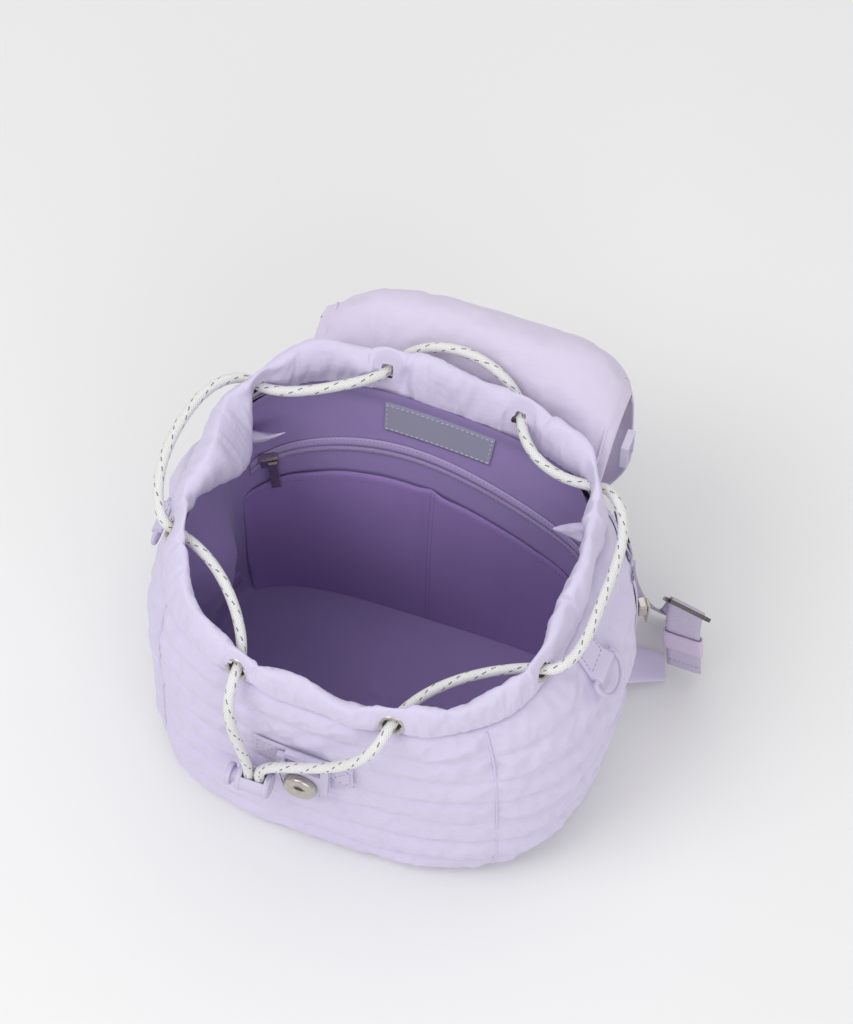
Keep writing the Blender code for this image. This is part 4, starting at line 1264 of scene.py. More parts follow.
@dataclass
class QuiltedBody:
    """Padded wall, base and hem band."""

    wall: Wall
    columns: int = 288
    rows_per_channel: int = 9
    band_columns: int = 480
    band_sides: int = 22
    band_thickness: float = 10.5 * MM
    band_in: float = 2.5 * MM
    band_foot_in: float = 3.3 * MM
    band_wave: float = 2.0 * MM
    band_waves: int = 17
    band_opening: float = 6.6 * MM
    top_wave: float = 0.012
    pucker: float = 0.6 * MM
    long_crease: float = 1.5 * MM
    cross_crease: float = 0.9 * MM
    fan_crease: float = 2.4 * MM
    fan_turn: float = -8.0
    fan_spread: float = 26.0
    wander: float = 0.022
    held_share: float = 0.8
    skin_gap: float = 0.0025
    piping_radius: float = 0.9 * MM
    band_ridge: float = 2.6 * MM
    band_fine: float = 1.2 * MM
    # Turn and its spread, rise and its spread, and depth of the shell's billow.
    bulge: tuple[float, ...] = (169.5, 8.0, 0.72, 0.10, 12 * MM)
    # Turn and its spread, reach inwards and fall of the band's fold.
    fold: tuple[float, ...] = (165.0, 14.0, 25 * MM, 0.085)
    # Side, base, end and direction of the width of each tip, in millimetres.
    tips: tuple[tuple[str, Colour, Colour, Colour], ...] = (
        ("left", (-116, 60, 194), (-91, 67, 200), (0.1, -0.75, 0.65)),
        ("right", (117, 66, 190), (97, 60, 193), (0.1, 0.7, 0.7)),
    )
    # Turn, rise, and spread in turn and in rise of what is sewn on the wall.
    sewn_on: tuple[tuple[float, ...], ...] = (
        (-94.5, 0.57, 18.0, 0.065), (-4.0, 0.80, 5.6, 0.07), (184.0, 0.80, 5.6, 0.07),
        (31.0, 0.755, 6.5, 0.055), (154.0, 0.775, 6.5, 0.055), (22.5, 0.43, 2.6, 0.30),
    )

    def flat(self, turn: float, rise: float) -> float:
        """How far a piece sewn on the wall keeps the padding flat, from 0 to 1."""
        most = 0.0
        for where, level, spread, rise_spread in self.sewn_on:
            across = abs(swing(turn, where)) / spread
            up = abs(rise - level) / rise_spread
            most = max(most, 1 / (1 + across**8) / (1 + up**8))
        return most

    def skin_point(self, turn: float, rise: float) -> Vector:
        """Point of the quilted skin, with long creases and puckers along the stitching.

        Args:
            turn: Direction of the point.
            rise: Share of the wall's height, before the stitching wanders.

        Returns:
            The point.
        """
        wall = self.wall
        a = radians(turn)
        flat = self.flat(turn, rise)
        channel = rise / wall.band_foot * wall.channels
        near_stitch = (1 - abs(sin(pi * channel))) ** 2
        pucker = sin(a * 71 + 2.4 * sin(a * 9) + floor(channel + 0.5) * 2.1)
        long = noise.noise(Vector((cos(a) * 3.4, sin(a) * 3.4, rise * 17 + 2.2 * sin(a * 2))))
        cross = noise.noise(Vector((cos(a) * 13 + 4, sin(a) * 13, rise * 7 + a)))
        slack = (0.5 - 2 * abs(long)) * self.long_crease + (0.4 - 2 * abs(cross)) * self.cross_crease
        gusset = swing(turn, 0.0)
        fan = noise.noise(Vector(((rise - 0.006 * (gusset + 40)) * 17, gusset / 45, 7.0)))
        near_fan = exp(-(((gusset - self.fan_turn) / self.fan_spread) ** 2))
        slack += (0.4 - 2 * abs(fan)) * self.fan_crease * near_fan
        depth = wall.dip(turn, rise) * self.held_share - self.pucker * pucker * near_stitch
        depth -= slack * (1 - self.held_share * near_stitch)
        depth = depth * (1 - flat) + 0.3 * MM * flat
        aside = abs(swing(turn, self.bulge[0])) / self.bulge[1]
        depth -= self.bulge[4] * exp(-(aside**2) - ((rise - self.bulge[2]) / self.bulge[3]) ** 2)
        wander = self.wander * noise.noise(Vector((cos(a) * 1.7, sin(a) * 1.7, rise * 2.5)))
        wander *= sin(pi * min(rise / wall.band_foot, 1.0))
        return wall.point(turn, rise + wander, -depth)

    def build_skin(self) -> None:
        """Quilted skin from under the base to the hem band, filled by the simulation."""
        wall = self.wall
        rows = wall.channels * self.rows_per_channel
        top = wall.band_foot - self.skin_gap
        turns = [360 * j / self.columns for j in range(self.columns)]
        under = [
            [wall.point(t, 0, -12 * MM) + Vector((0, 0, 0.8 * MM)) for t in turns],
            [wall.point(t, 0, -5 * MM) + Vector((0, 0, 0.3 * MM)) for t in turns],
        ]
        skin = [[self.skin_point(t, top * i / rows) for t in turns] for i in range(1, rows + 1)]
        lip = [[wall.point(t, top, wall.inner(top)) for t in turns]]
        thing = grid("quilted_skin", under + skin + lip, wrap=True)
        held = [1.0] * (2 * self.columns)
        for i in range(1, rows + 1):
            sewn = i % self.rows_per_channel == 0
            for turn in turns:
                gap = min(abs(swing(turn, seam)) for seam in wall.seams)
                firm = sewn or gap < 0.9 or i == rows or i < 3
                held.append(1.0 if firm or self.flat(turn, top * i / rows) > 0.4 else 0.0)
        held += [1.0] * self.columns
        Filling(pressure=2.2, ease=0.045, cap=3.2 * MM).puff(thing, held)
        soften(dress(thing, SHELL, Slot.SHELL))
        seat(thing, "body_shell")
        log.info("quilted skin, %d points", len(thing.data.vertices))

    def build_stitches(self) -> None:
        """Stitching along the channels, and the corner seams."""
        wall = self.wall
        needle = Needle()
        turns = [360 * j / self.columns for j in range(self.columns + 1)]
        for channel in range(1, wall.channels):
            rise = wall.band_foot * channel / wall.channels
            needle.run([self.skin_point(t, rise) for t in turns],
                       [wall.outward(t, rise) for t in turns])
        needle.piece("channel_stitches", THREAD, Slot.SHELL)
        seams = []
        for seam in wall.seams:
            rises = [0.02 + (wall.band_foot - 0.03) * k / 60 for k in range(61)]
            path = [self.skin_point(seam, r) + wall.outward(seam, r) * 0.1 * MM for r in rises]
            seams.append(tube("seam", path, self.piping_radius, 8))
        piping = dress(join("corner_seams", seams), SHELL_SMOOTH, Slot.SHELL)
        seat(piping)

    def build_base(self) -> None:
        """Padded base with a rounded edge."""
        wall = self.wall
        turns = [360 * j / 120 for j in range(120)]
        rows = []
        for share in (0.0005, 0.3, 0.6, 0.85, 0.97, 1.0):
            ring = [wall.point(t, 0, wall.inner(0.04, 2 * GAP)) * share for t in turns]
            rows.append([Vector((p.x, p.y, 0.2 * MM + 0.5 * MM * share**8)) for p in ring])
        for share in (1.0, 0.9, 0.5, 0.0005):
            ring = [wall.point(t, 0, wall.inner(0.04, 2 * GAP)) * share for t in turns]
            rows.append([Vector((p.x, p.y, wall.base - MM)) for p in ring])
        base = dress(grid("base_pad", rows, wrap=True), SHELL_SMOOTH, Slot.SHELL)
        seat(base, "base_panel")

    def band_point(self, turn: float, angle: float) -> Vector:
        """Point of the hem band, gathered at its eyelets and folded in at the left.

        Args:
            turn: Direction of the point.
            angle: Angle round the band's cross-section, from its top edge.

        Returns:
            The point.
        """
        wall = self.wall
        a = radians(turn)
        foot = wall.band_foot + 0.0005
        gap = min(abs(swing(turn, eyelet)) for eyelet in EYELET_TURNS)
        calm = 1 - exp(-((gap / 6) ** 2))
        clear = 1 - exp(-((gap / 4.6) ** 4))
        gathered = 0.4 + 0.6 * exp(-((gap / 13) ** 2))
        wave = a * self.band_waves
        top = 1 + self.top_wave * (sin(wave * 0.5 + 1.0) - 0.8) * calm
        upper = 0.5 + 0.5 * cos(angle)
        rise = foot + (top - foot) * upper
        lens = abs(sin(angle)) ** 0.75 * (1 if sin(angle) >= 0 else -1)
        ridge = 0.5 - 2 * abs(noise.noise(Vector((cos(a) * 10, sin(a) * 10, upper * 1.1 + 3))))
        fine = 0.4 - 2 * abs(noise.noise(Vector((cos(a) * 26, sin(a) * 26, upper * 1.6 + 8))))
        crease = (ridge * self.band_ridge + fine * self.band_fine) * gathered * clear
        inside = max(0.0, -sin(angle))
        puff = (1 + 0.12 * sin(wave)) * (1 + 0.35 * inside)
        half = self.band_thickness / 2 * (0.5 + 0.5 * calm)
        shift = self.band_wave * sin(wave * 0.7) * calm * upper
        shift -= self.band_foot_in * (1 - upper) ** 2
        out = lens * (puff * half + crease) - self.band_in + shift
        aside = abs(swing(turn, self.fold[0])) / self.fold[1]
        fold = exp(-(aside**2)) * inside * (1 - exp(-((gap / 7) ** 4)))
        return wall.point(turn, rise - self.fold[3] * fold, out - self.fold[2] * fold)

    def build_tips(self) -> None:
        """Small pointed tips of cloth that stand out of the hem's inner back corners."""
        for name, base, tip, across in self.tips:
            start, end = Vector(base) * MM, Vector(tip) * MM
            ahead = (end - start).normalized()
            side = (Vector(across) - ahead * ahead.dot(Vector(across))).normalized()
            face = ahead.cross(side)
            rows = [[] for _ in range(16)]
            for i in range(13):
                share = i / 12
                bend = face * sin(share * pi) * 2 * MM
                for k, row in enumerate(rows):
                    a = 2 * pi * k / 16
                    spot = start.lerp(end, share) + bend
                    wide = (7.0 * (1 - share) ** 0.8 + 0.4) * MM * cos(a)
                    deep = (4.4 * (1 - share) + 0.3) * MM * sin(a)
                    row.append(spot + side * wide + face * deep * (1 + wrinkle(spot, 90, k * 0.3)))
            tip_cloth = dress(close_ends(grid("hem_tip_" + name, rows, close=True)), SHELL, Slot.SHELL)
            seat(soften(tip_cloth))

    def build_band(self, eyelets: Eyelets) -> None:
        """Puffy hem band with openings under the eyelets."""
        turns = [360 * j / self.band_columns for j in range(self.band_columns)]
        angles = [2 * pi * i / self.band_sides for i in range(self.band_sides)]
        rows = [[self.band_point(t, a) for t in turns] for a in angles]
        centres = [place.translation for place in eyelets.places.values()]

        def clear(middle: Vector) -> bool:
            """Whether a face lies outside every eyelet's opening."""
            return all((middle - c).length > self.band_opening for c in centres)

        band = grid("hem_band", rows, wrap=True, close=True, keep=clear)
        held = []
        for angle in angles:
            low = cos(angle) < -0.93
            for turn in turns:
                gap = min(abs(swing(turn, e)) for e in EYELET_TURNS)
                held.append(1.0 if low or gap < 4.5 else 0.0)
        Filling(pressure=1.6, ease=0.05, cap=2.4 * MM).puff(band, held)
        soften(dress(band, SHELL, Slot.SHELL))
        seat(band, "rim_band")
        log.info("hem band")


EYELET_TURNS = (-117.0, -66.0, -19.0, 35.0, 63.0, 107.0, 147.0, 196.0)


@dataclass
class Interior:
    """Lining with its pocket, zip, bare label and small tab.

    A pair of turns is where a piece starts and how far it runs clockwise. The rises of the pocket
    and the zip are those of their ends and middle, and the others a low edge and a height.
    """

    wall: Wall
    columns: int = 200
    rows: int = 48
    top: float = 0.892
    sheet: float = 1.2 * MM
    slack: float = 26 * MM
    slack_turn: float = 178.0
    slack_spread: float = 14.5
    slack_rise: float = 0.45
    slack_rise_spread: float = 0.25
    pocket_turns: tuple[float, float] = (154.0, 115.0)
    pocket_rises: tuple[float, float] = (0.48, 0.62)
    divider: float = 0.585
    pocket_slack: float = 3 * MM
    label_turns: tuple[float, float] = (107.0, 39.0)
    label_rises: tuple[float, float] = (0.765, 0.085)
    label_cloth: float = 0.8 * MM
    tab_turns: tuple[float, float] = (163, 5)
    tab_rises: tuple[float, float] = (0.10, 0.05)
    tab_cloth: float = 2 * MM
    zip_turns: tuple[float, float] = (150.0, 113.0)
    zip_rises: tuple[float, float] = (0.59, 0.71)

    def lining_point(self, turn: float, rise: float) -> Vector:
        """Point of the lining's visible face, with its folds and the slack at the left."""
        wall = self.wall
        spot = wall.point(turn, rise)
        fold = max(0.0, wrinkle(Vector((spot.x, spot.y, spot.z * 0.35)), 30, 1.7)) * 2.6 * MM
        fold += (0.5 + wrinkle(spot, 75, 4.2)) * 0.5 * MM
        left = abs(swing(turn, self.slack_turn)) / self.slack_spread
        up = (rise - self.slack_rise) / self.slack_rise_spread
        slack = self.slack * exp(-(left**2) - up**2)
        slack *= 1 + 0.12 * wrinkle(spot, 45, 2.2)
        behind = abs(swing(turn, 95))
        calm = 0.15 if behind < 66 else 1.0
        ease = min(1.0, max((wall.band_foot - rise) * 14 + 0.1, 0.1))
        over = 3.2 * MM * min(1.0, max(0.0, (rise - wall.band_foot + 0.02) / 0.03))
        further = GAP + wall.lining + (fold * calm + slack) * ease + over
        return wall.point(turn, rise, wall.inner(rise, further))

    def build_lining(self) -> None:
        """Wall and floor of the lining as one bowl."""
        wall = self.wall
        turns = [360 * j / self.columns for j in range(self.columns)]
        low = wall.base + GAP + wall.lining
        floor_ring = [wall.point(t, low / wall.rim(t), wall.inner(0.04, GAP + wall.lining)) for t in turns]
        rows = []
        for share in (0.0005, 0.2, 0.4, 0.6, 0.8, 0.93, 0.985):
            ring = []
            for p in floor_ring:
                spot = Vector((p.x * share, p.y * share, low))
                lift = (0.5 + wrinkle(spot, 38, 6.1)) * 1.3 * MM * (1 - share**6)
                ring.append(spot + Vector((0, 0, lift)))
            rows.append(ring)
        for i in range(self.rows + 1):
            row = []
            for turn in turns:
                first = low / wall.rim(turn)
                rise = first + (self.top - first) * i / self.rows
                row.append(self.lining_point(turn, rise))
            rows.append(row)
        lining = dress(grid("lining_bowl", rows, wrap=True), LINING, Slot.LINING)
        soften(lining)
        seat(lining, "body_lining")

    def arch(self, u: float, ends: float, middle: float) -> float:
        """Rise of an arched edge along the back wall."""
        return ends + (middle - ends) * max(sin(pi * u), 0.0) ** 0.7

    def pocket_turn(self, u: float) -> float:
        """Turn of a place along the pocket."""
        return self.pocket_turns[0] - self.pocket_turns[1] * u

    def pocket_point(self, u: float, v: float, side: float) -> Vector:
        """Point of the slip pocket: u along it, v up it, side through it."""
        turn = self.pocket_turn(u)
        low = (self.wall.base + self.wall.lining + 3 * GAP) / self.wall.rim(turn)
        high = self.arch(u, *self.pocket_rises)
        divided = abs(u - self.divider) / 0.03
        slack = self.pocket_slack * v * sin(pi * u) * (1 - exp(-(divided**2)) * 0.7)
        spot = self.wall.point(turn, low + (high - low) * v)
        fold = max(0.0, wrinkle(Vector((spot.x, spot.y, spot.z * 0.5)), 34, 9.4)) * 1.6 * MM * v
        return self.wall.on_lining(turn, low + (high - low) * v, slack + fold + self.sheet * side)

    def build_pocket(self) -> None:
        """Pocket with a folded top edge and two rows of stitches."""
        columns, rows = 110, 34
        face = [[self.pocket_point(j / columns, i / rows, 1) for j in range(columns + 1)]
                for i in range(rows + 1)]
        hem = [[self.pocket_point(j / columns, 1, side) for j in range(columns + 1)]
               for side in (0.5, 0.0)]
        back = [[self.pocket_point(j / columns, v, 0) for j in range(columns + 1)] for v in (0.9, 0.5, 0.0)]
        pocket = dress(grid("pocket_panel", face + hem + back), POCKET_CLOTH, Slot.LINING)
        seat(pocket, "slip_pocket")
        needle = Needle(length=2.2 * MM, pitch=3.2 * MM, radius=0.28 * MM)
        spots = [j / 120 for j in range(1, 120)]
        inward = [-self.wall.outward(self.pocket_turn(u), 0.55) for u in spots]
        needle.run([self.pocket_point(u, 0.955, 1.1) for u in spots], inward)
        levels = [k / 40 for k in range(41)]
        for u in (self.divider, self.divider + 0.015):
            needle.run([self.pocket_point(u, v, 1.1) for v in levels],
                       [-self.wall.outward(self.pocket_turn(u), 0.4)] * len(levels))
        needle.piece("pocket_stitches", DARK_THREAD, Slot.LINING)

    def zip_turn(self, u: float) -> float:
        """Turn of a place along the zip."""
        return self.zip_turns[0] - self.zip_turns[1] * u

    def zip_point(self, u: float, v: float, further: float) -> Vector:
        """Point of the zip: u along it, v across it in metres, further off the lining."""
        rise = self.arch(u, *self.zip_rises) + v / self.wall.height
        return self.wall.on_lining(self.zip_turn(u), rise, further)

    def build_zip(self) -> None:
        """Zip tapes with a coil between them, its slider and its pull."""
        columns = 120
        rows = []
        for across, off in ((-5.0, 0.0), (-4.9, 1.0), (-2.2, 1.3), (-0.6, 0.9), (0.6, 0.9),
                            (2.2, 1.3), (4.9, 1.0), (5.0, 0.0)):
            rows.append([self.zip_point(j / columns, across * MM, off * MM) for j in range(columns + 1)])
        tape = dress(grid("zip_tapes", rows), ZIP_TAPE, Slot.LINING)
        seat(tape, "pocket_zip")
        coil = Needle(length=1.9 * MM, pitch=1.3 * MM, radius=0.42 * MM)
        spots = [j / 200 for j in range(201)]
        line = [self.zip_point(u, 0.0, 1.2 * MM) for u in spots]
        total = path_length(line)
        for k in range(int(total / coil.pitch)):
            u = (k + 0.5) * coil.pitch / total
            middle = self.zip_point(u, 0.0, 1.3 * MM)
            up = (self.zip_point(u, MM, 1.3 * MM) - middle).normalized()
            coil.stitch(middle, up, -self.wall.outward(self.zip_turn(u), 0.65))
        coil.piece("zip_coil", DARK_THREAD, Slot.LINING)
        needle = Needle(length=2.0 * MM, pitch=3.0 * MM, radius=0.25 * MM)
        inward = [-self.wall.outward(self.zip_turn(u), 0.65) for u in spots]
        for across in (-4.0, 4.0):
            needle.run([self.zip_point(u, across * MM, 1.15 * MM) for u in spots], inward)
        needle.piece("zip_stitches", DARK_THREAD, Slot.LINING)
        for node in ("pocket_zip_slider", "pocket_zip_pull"):
            dress(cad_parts[node], NICKEL)

    def build_label(self) -> None:
        """Bare woven label with a sewn border, on the lining."""
        columns, rows = 60, 16

        def point(u: float, v: float, side: float) -> Vector:
            """Point of the label, with a faint frayed outline."""
            fray = 0.35 * MM * wrinkle(Vector((u * 40, v * 40, 0)), 1.0, 2.0)
            turn = self.label_turns[0] - self.label_turns[1] * u
            rise = self.label_rises[0] + self.label_rises[1] * v + fray / self.wall.height
            return self.wall.on_lining(turn, rise, self.label_cloth * side)

        rim = [(0.0, 0.0)] + [(i / rows, 1.0) for i in range(rows + 1)] + [(1.0, 0.0)]
        label = grid("label_patch", [[point(j / columns, v, side) for j in range(columns + 1)]
                                     for v, side in rim])
        dress(label, LABEL_CLOTH, Slot.LABEL)
        seat(label, "label")
        needle = Needle(length=2.8 * MM, pitch=3.4 * MM, radius=0.3 * MM)
        steps = [k / 30 for k in range(31)]
        edges = [
            [point(u, 0.08, 1.15) for u in steps], [point(u, 0.92, 1.15) for u in steps],
            [point(0.02, v, 1.15) for v in steps], [point(0.98, v, 1.15) for v in steps],
        ]
        inward = -self.wall.outward(88, 0.8)
        for edge in edges:
            needle.run(edge, [inward] * len(edge))
        needle.piece("label_stitches", SIDE_TAPE, Slot.LABEL)

    def build_tab(self) -> None:
        """Small dark folded tab low on the left of the lining."""
        turns = [self.tab_turns[0] - self.tab_turns[1] * j / 8 for j in range(9)]
        rows = []
        for v, side in ((0, 0.0), (0, 1.0), (0.3, 1.15), (0.7, 1.15), (1, 1.0), (1, 0.0)):
            rise, further = self.tab_rises[0] + self.tab_rises[1] * v, self.tab_cloth * side
            rows.append([self.wall.on_lining(turn, rise, further * (1 - 0.1 * (j % 2)))
                         for j, turn in enumerate(turns)])
        tab = dress(grid("folded_tab", rows), POCKET_CLOTH, Slot.LINING)
        seat(tab, "lining_tab")

    def build(self) -> None:
        """Build and dress every piece of the interior."""
        self.build_lining()
        self.build_pocket()
        self.build_zip()
        self.build_label()
        self.build_tab()
        log.info("interior")


@dataclass
class Lid:
    """Padded lid, thrown back behind the bag with its lining side up."""

    wall: Wall
    rows: int = 70
    columns: int = 64
    thickness: float = 8 * MM
    half_width: float = 110 * MM
    centre_x: float = 17 * MM
    side_drop: float = 24 * MM
    end_drop: float = 10 * MM
    left_drop: float = 7 * MM
    follow_until: float = 0.3
    end_from: float = 0.8
    end_taper: float = 0.14
    wall_taper: float = 0.05
    left_flare: float = 0.075
    right_taper: float = 0.045
    wrinkle_depth: float = 2.2 * MM
    crease_depth: float = 0.4 * MM
    side_crease: float = 1.9 * MM
    piping_at: float = 0.93
    piping_radius: float = 1.1 * MM
    line: tuple[tuple[float, float], ...] = (
        (112, 200), (120.5, 214), (129, 229), (142, 242), (156, 248), (169, 244),
        (179, 229), (184, 206), (186, 175), (186, 140), (183, 105),
    )

    def wall_bend(self, x: float) -> float:
        """How far the back wall curves forward at a distance from its middle."""
        reach = self.wall.half_width * self.wall.section(0.8, "right" if x >= 0 else "left") * 0.99
        return 1 - (1 - min(abs(x) / reach, 0.97) ** 3.4) ** (1 / 3.4)

    def middle(self, i: int, u: float, path: Points) -> tuple[Vector, Vector, float]:
        """Middle layer of the lid.

        Args:
            i: The row, from the wall to the hanging edge.
            u: From -1 at the left edge to 1 at the right one.
            path: The lid's middle line.

        Returns:
            The point, the direction through the lid and its thickness there.
        """
        last = len(path) - 1
        p = path[i]
        along = i / last
        ahead = (path[min(i + 1, last)] - path[max(i - 1, 0)]).normalized()
        normal = Vector((0, -ahead.z, ahead.y))
        follow = max(0.0, 1 - along / self.follow_until)
        end = max(0.0, (along - self.end_from) / (1 - self.end_from))
        half = self.half_width * (1 - self.end_taper * end**2) * (1 - self.wall_taper * (1 - along))
        left, right = max(0.0, (-u - 0.5) / 0.5), max(0.0, (u - 0.4) / 0.6)
        half *= 1 + self.left_flare * left - self.right_taper * right
        spread = abs(u) ** 5
        drop = self.side_drop * spread * (1 - follow) + self.end_drop * end**2 * (1 - spread)
        drop += self.left_drop * left**2 * (1 - follow)
        point = Vector((self.centre_x + half * u, p.y, p.z)) - normal * drop
        point.y -= path[0].y * self.wall_bend(point.x) * follow * 0.96
        return point, normal, self.thickness * (1 - 0.55 * abs(u) ** 8)

    def build(self) -> None:
        """Lid with soft wrinkles, puffed by the simulation, and its side piping."""
        path = even_path([Vector((0, y, z)) * MM for y, z in self.line], self.rows)
        upper, lower = [], []
        for i in range(self.rows):
            top, bottom = [], []
            for j in range(self.columns + 1):
                u = 2 * j / self.columns - 1
                point, normal, thick = self.middle(i, u, path)
                thick *= 0.55 + 0.45 * min(1.0, i / 5)
                edge = 1 - abs(u) ** 10
                wide = Vector((point.x * 0.6, point.y, point.z))
                long = Vector((point.x, point.y * 0.4, point.z * 0.4))
                slack = wrinkle(wide, 20, 7.7) * self.wrinkle_depth
                depth = self.crease_depth + self.side_crease * abs(u) ** 3
                slack += (0.3 - 2 * abs(wrinkle(long, 34, 2.9))) * depth
                top.append(point + normal * (thick / 2 + slack * edge))
                bottom.append(point - normal * (thick / 2 - slack * 0.5 * edge))
            upper.append(top)
            lower.append(bottom)
        rings = [row + other[::-1] for row, other in zip(upper, lower)]
        lid = close_ends(grid("lid_flap", rings, wrap=True))
        around = 2 * (self.columns + 1)
        held = []
        for i in range(self.rows):
            for j in range(around):
                side = j % (self.columns + 1)
                edge = side in (0, 1, self.columns - 1, self.columns)
                held.append(1.0 if i < 3 or i > self.rows - 3 or edge else 0.0)
        Filling(pressure=1.2, ease=0.03, cap=2.5 * MM).puff(lid, held)
        soften(dress(lid, LID_CLOTH, Slot.LID))
        seat(lid, "lid")
        self.build_piping(path)
        log.info("lid")

    def build_piping(self, path: Points) -> None:
        """Seams a little in from the lid's two sides, with their stitches."""
        pipes, needle = [], Needle()
        for sign in (-1, 1):
            line, normals = [], []
            for i in range(4, self.rows - 2):
                point, normal, thick = self.middle(i, sign * self.piping_at, path)
                line.append(point + normal * (thick / 2 + 0.4 * MM))
                normals.append(normal)
            pipes.append(tube("pipe", line, self.piping_radius, 8))
            needle.run([p + n * 0.9 * MM for p, n in zip(line, normals)], normals)
        piping = dress(join("lid_piping", pipes), LID_CLOTH, Slot.LID)
        seat(piping)
        needle.piece("lid_stitches", THREAD, Slot.LID)
        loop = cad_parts["lid_loop"]
        dress(loop, PLASTIC)
        bevel = loop.modifiers.new("edges", "BEVEL")
        bevel.width, bevel.segments = 0.8 * MM, 3


@dataclass
class FrontClosure:
    """Sewn webbing strip, the frame on it and the round magnetic snap."""

    wall: Wall
    strip_turns: tuple[float, float] = (-111.0, -78.0)
    strip_rises: tuple[float, float] = (0.515, 0.625)
    webbing: float = 1.6 * MM
    frame_size: Vector = field(default_factory=lambda: Vector((36, 44, 4)) * MM)
    slot_size: tuple[float, float] = (25 * MM, 12 * MM)
    turn: float = -94.5
    rise: float = 0.53
    opening_at: float = 0.24
    # Size of the thin dark plate of painted shade behind the frame's opening.
    shade_sheet_size: Vector = field(default_factory=lambda: Vector((24, 11, 0.8)) * MM)
    snap_slot_shade: Vector = field(default_factory=lambda: Vector((6.4, 2.2, 0.6)) * MM)
    snap_radius: float = 11.5 * MM
    snap_thickness: float = 5.5 * MM

    def strip_point(self, u: float, v: float, out: float) -> Vector:
        """Point of the strip."""
        turn = self.strip_turns[0] + (self.strip_turns[1] - self.strip_turns[0]) * u
        rise = self.strip_rises[0] + (self.strip_rises[1] - self.strip_rises[0]) * v
        return self.wall.point(turn, rise, GAP + out)

    def build(self) -> None:
        """Build the strip, the frame and the snap."""
        rows = []
        for v, share in ((0.0, 0.0), (0.0, 0.9), (0.08, 1.0), (0.3, 1.0), (0.5, 1.0), (0.7, 1.0),
                         (0.92, 1.0), (1.0, 0.9), (1.0, 0.0)):
            rows.append([self.strip_point(j / 40, v, self.webbing * share) for j in range(41)])
        strip = dress(grid("webbing_strip", rows), STRIP_WEBBING, Slot.WEBBING)
        seat(strip, "front_webbing")
        needle = Needle()
        outward = self.wall.outward(self.turn, 0.57)
        for start, end in ((0.03, 0.24), (0.76, 0.97)):
            corners = [(start, 0.12), (end, 0.12), (end, 0.88), (start, 0.88), (start, 0.12), (end, 0.88)]
            for (ua, va), (ub, vb) in zip(corners, corners[1:]):
                steps = [k / 12 for k in range(13)]
                line = [self.strip_point(ua + (ub - ua) * s, va + (vb - va) * s, self.webbing + 0.1 * MM)
                        for s in steps]
                needle.run(line, [outward] * len(line))
        needle.piece("strip_stitches", THREAD, Slot.WEBBING)
        out = GAP + self.webbing + 0.8 * MM + self.frame_size.z / 2
        place = self.wall.place(self.turn, self.rise, out)
        hole = (0.0, self.frame_size.y * self.opening_at, *self.slot_size)
        loop = plate("front_loop", self.frame_size, place, [hole], 1.2 * MM, 6 * MM)
        dress(loop, PLASTIC, Slot.PLASTIC)
        seat(loop, "front_frame")
        # A thin dark purple plate behind the frame's opening: painted shade inside the frame.
        shade_sheet = plate("loop_painted_shade", self.shade_sheet_size,
                        place @ Matrix.Translation((0, hole[1], -1.6 * MM)), [], 0.2 * MM)
        dress(shade_sheet, POCKET_CLOTH, Slot.LINING)
        seat(shade_sheet)
        self.build_snap(place)
        log.info("front closure")

    def build_snap(self, place: Matrix) -> None:
        """Turned magnetic snap, with a near-black nickel plate on its face as painted shade of a short
        slot.
        """
        r, t = self.snap_radius, self.snap_thickness
        low = -self.frame_size.y * self.opening_at
        under = place @ Matrix.Translation((0, low, self.frame_size.z / 2 + GAP))
        profile = [
            (0.05 * MM, t * 0.80), (r * 0.30, t * 0.80), (r * 0.34, t * 0.92), (r * 0.60, t * 0.98),
            (r * 0.80, t), (r * 0.92, t * 0.92), (r, t * 0.70), (r, t * 0.12), (r * 0.95, 0.0),
            (0.05 * MM, 0.0),
        ]
        snap = dress(lathe("snap_disc", profile, under, 64, ring=False), NICKEL, Slot.NICKEL)
        seat(snap, "magnet_snap")
        # A near-black nickel plate on the snap's face: painted shade of its slot.
        slot = plate("snap_slot_shade", self.snap_slot_shade,
                     under @ Matrix.Translation((0, 0, t * 0.82)), [], 0.2 * MM, 1.0 * MM)
        seat(dress(slot, NICKEL_PAINTED_DARK, Slot.NICKEL))


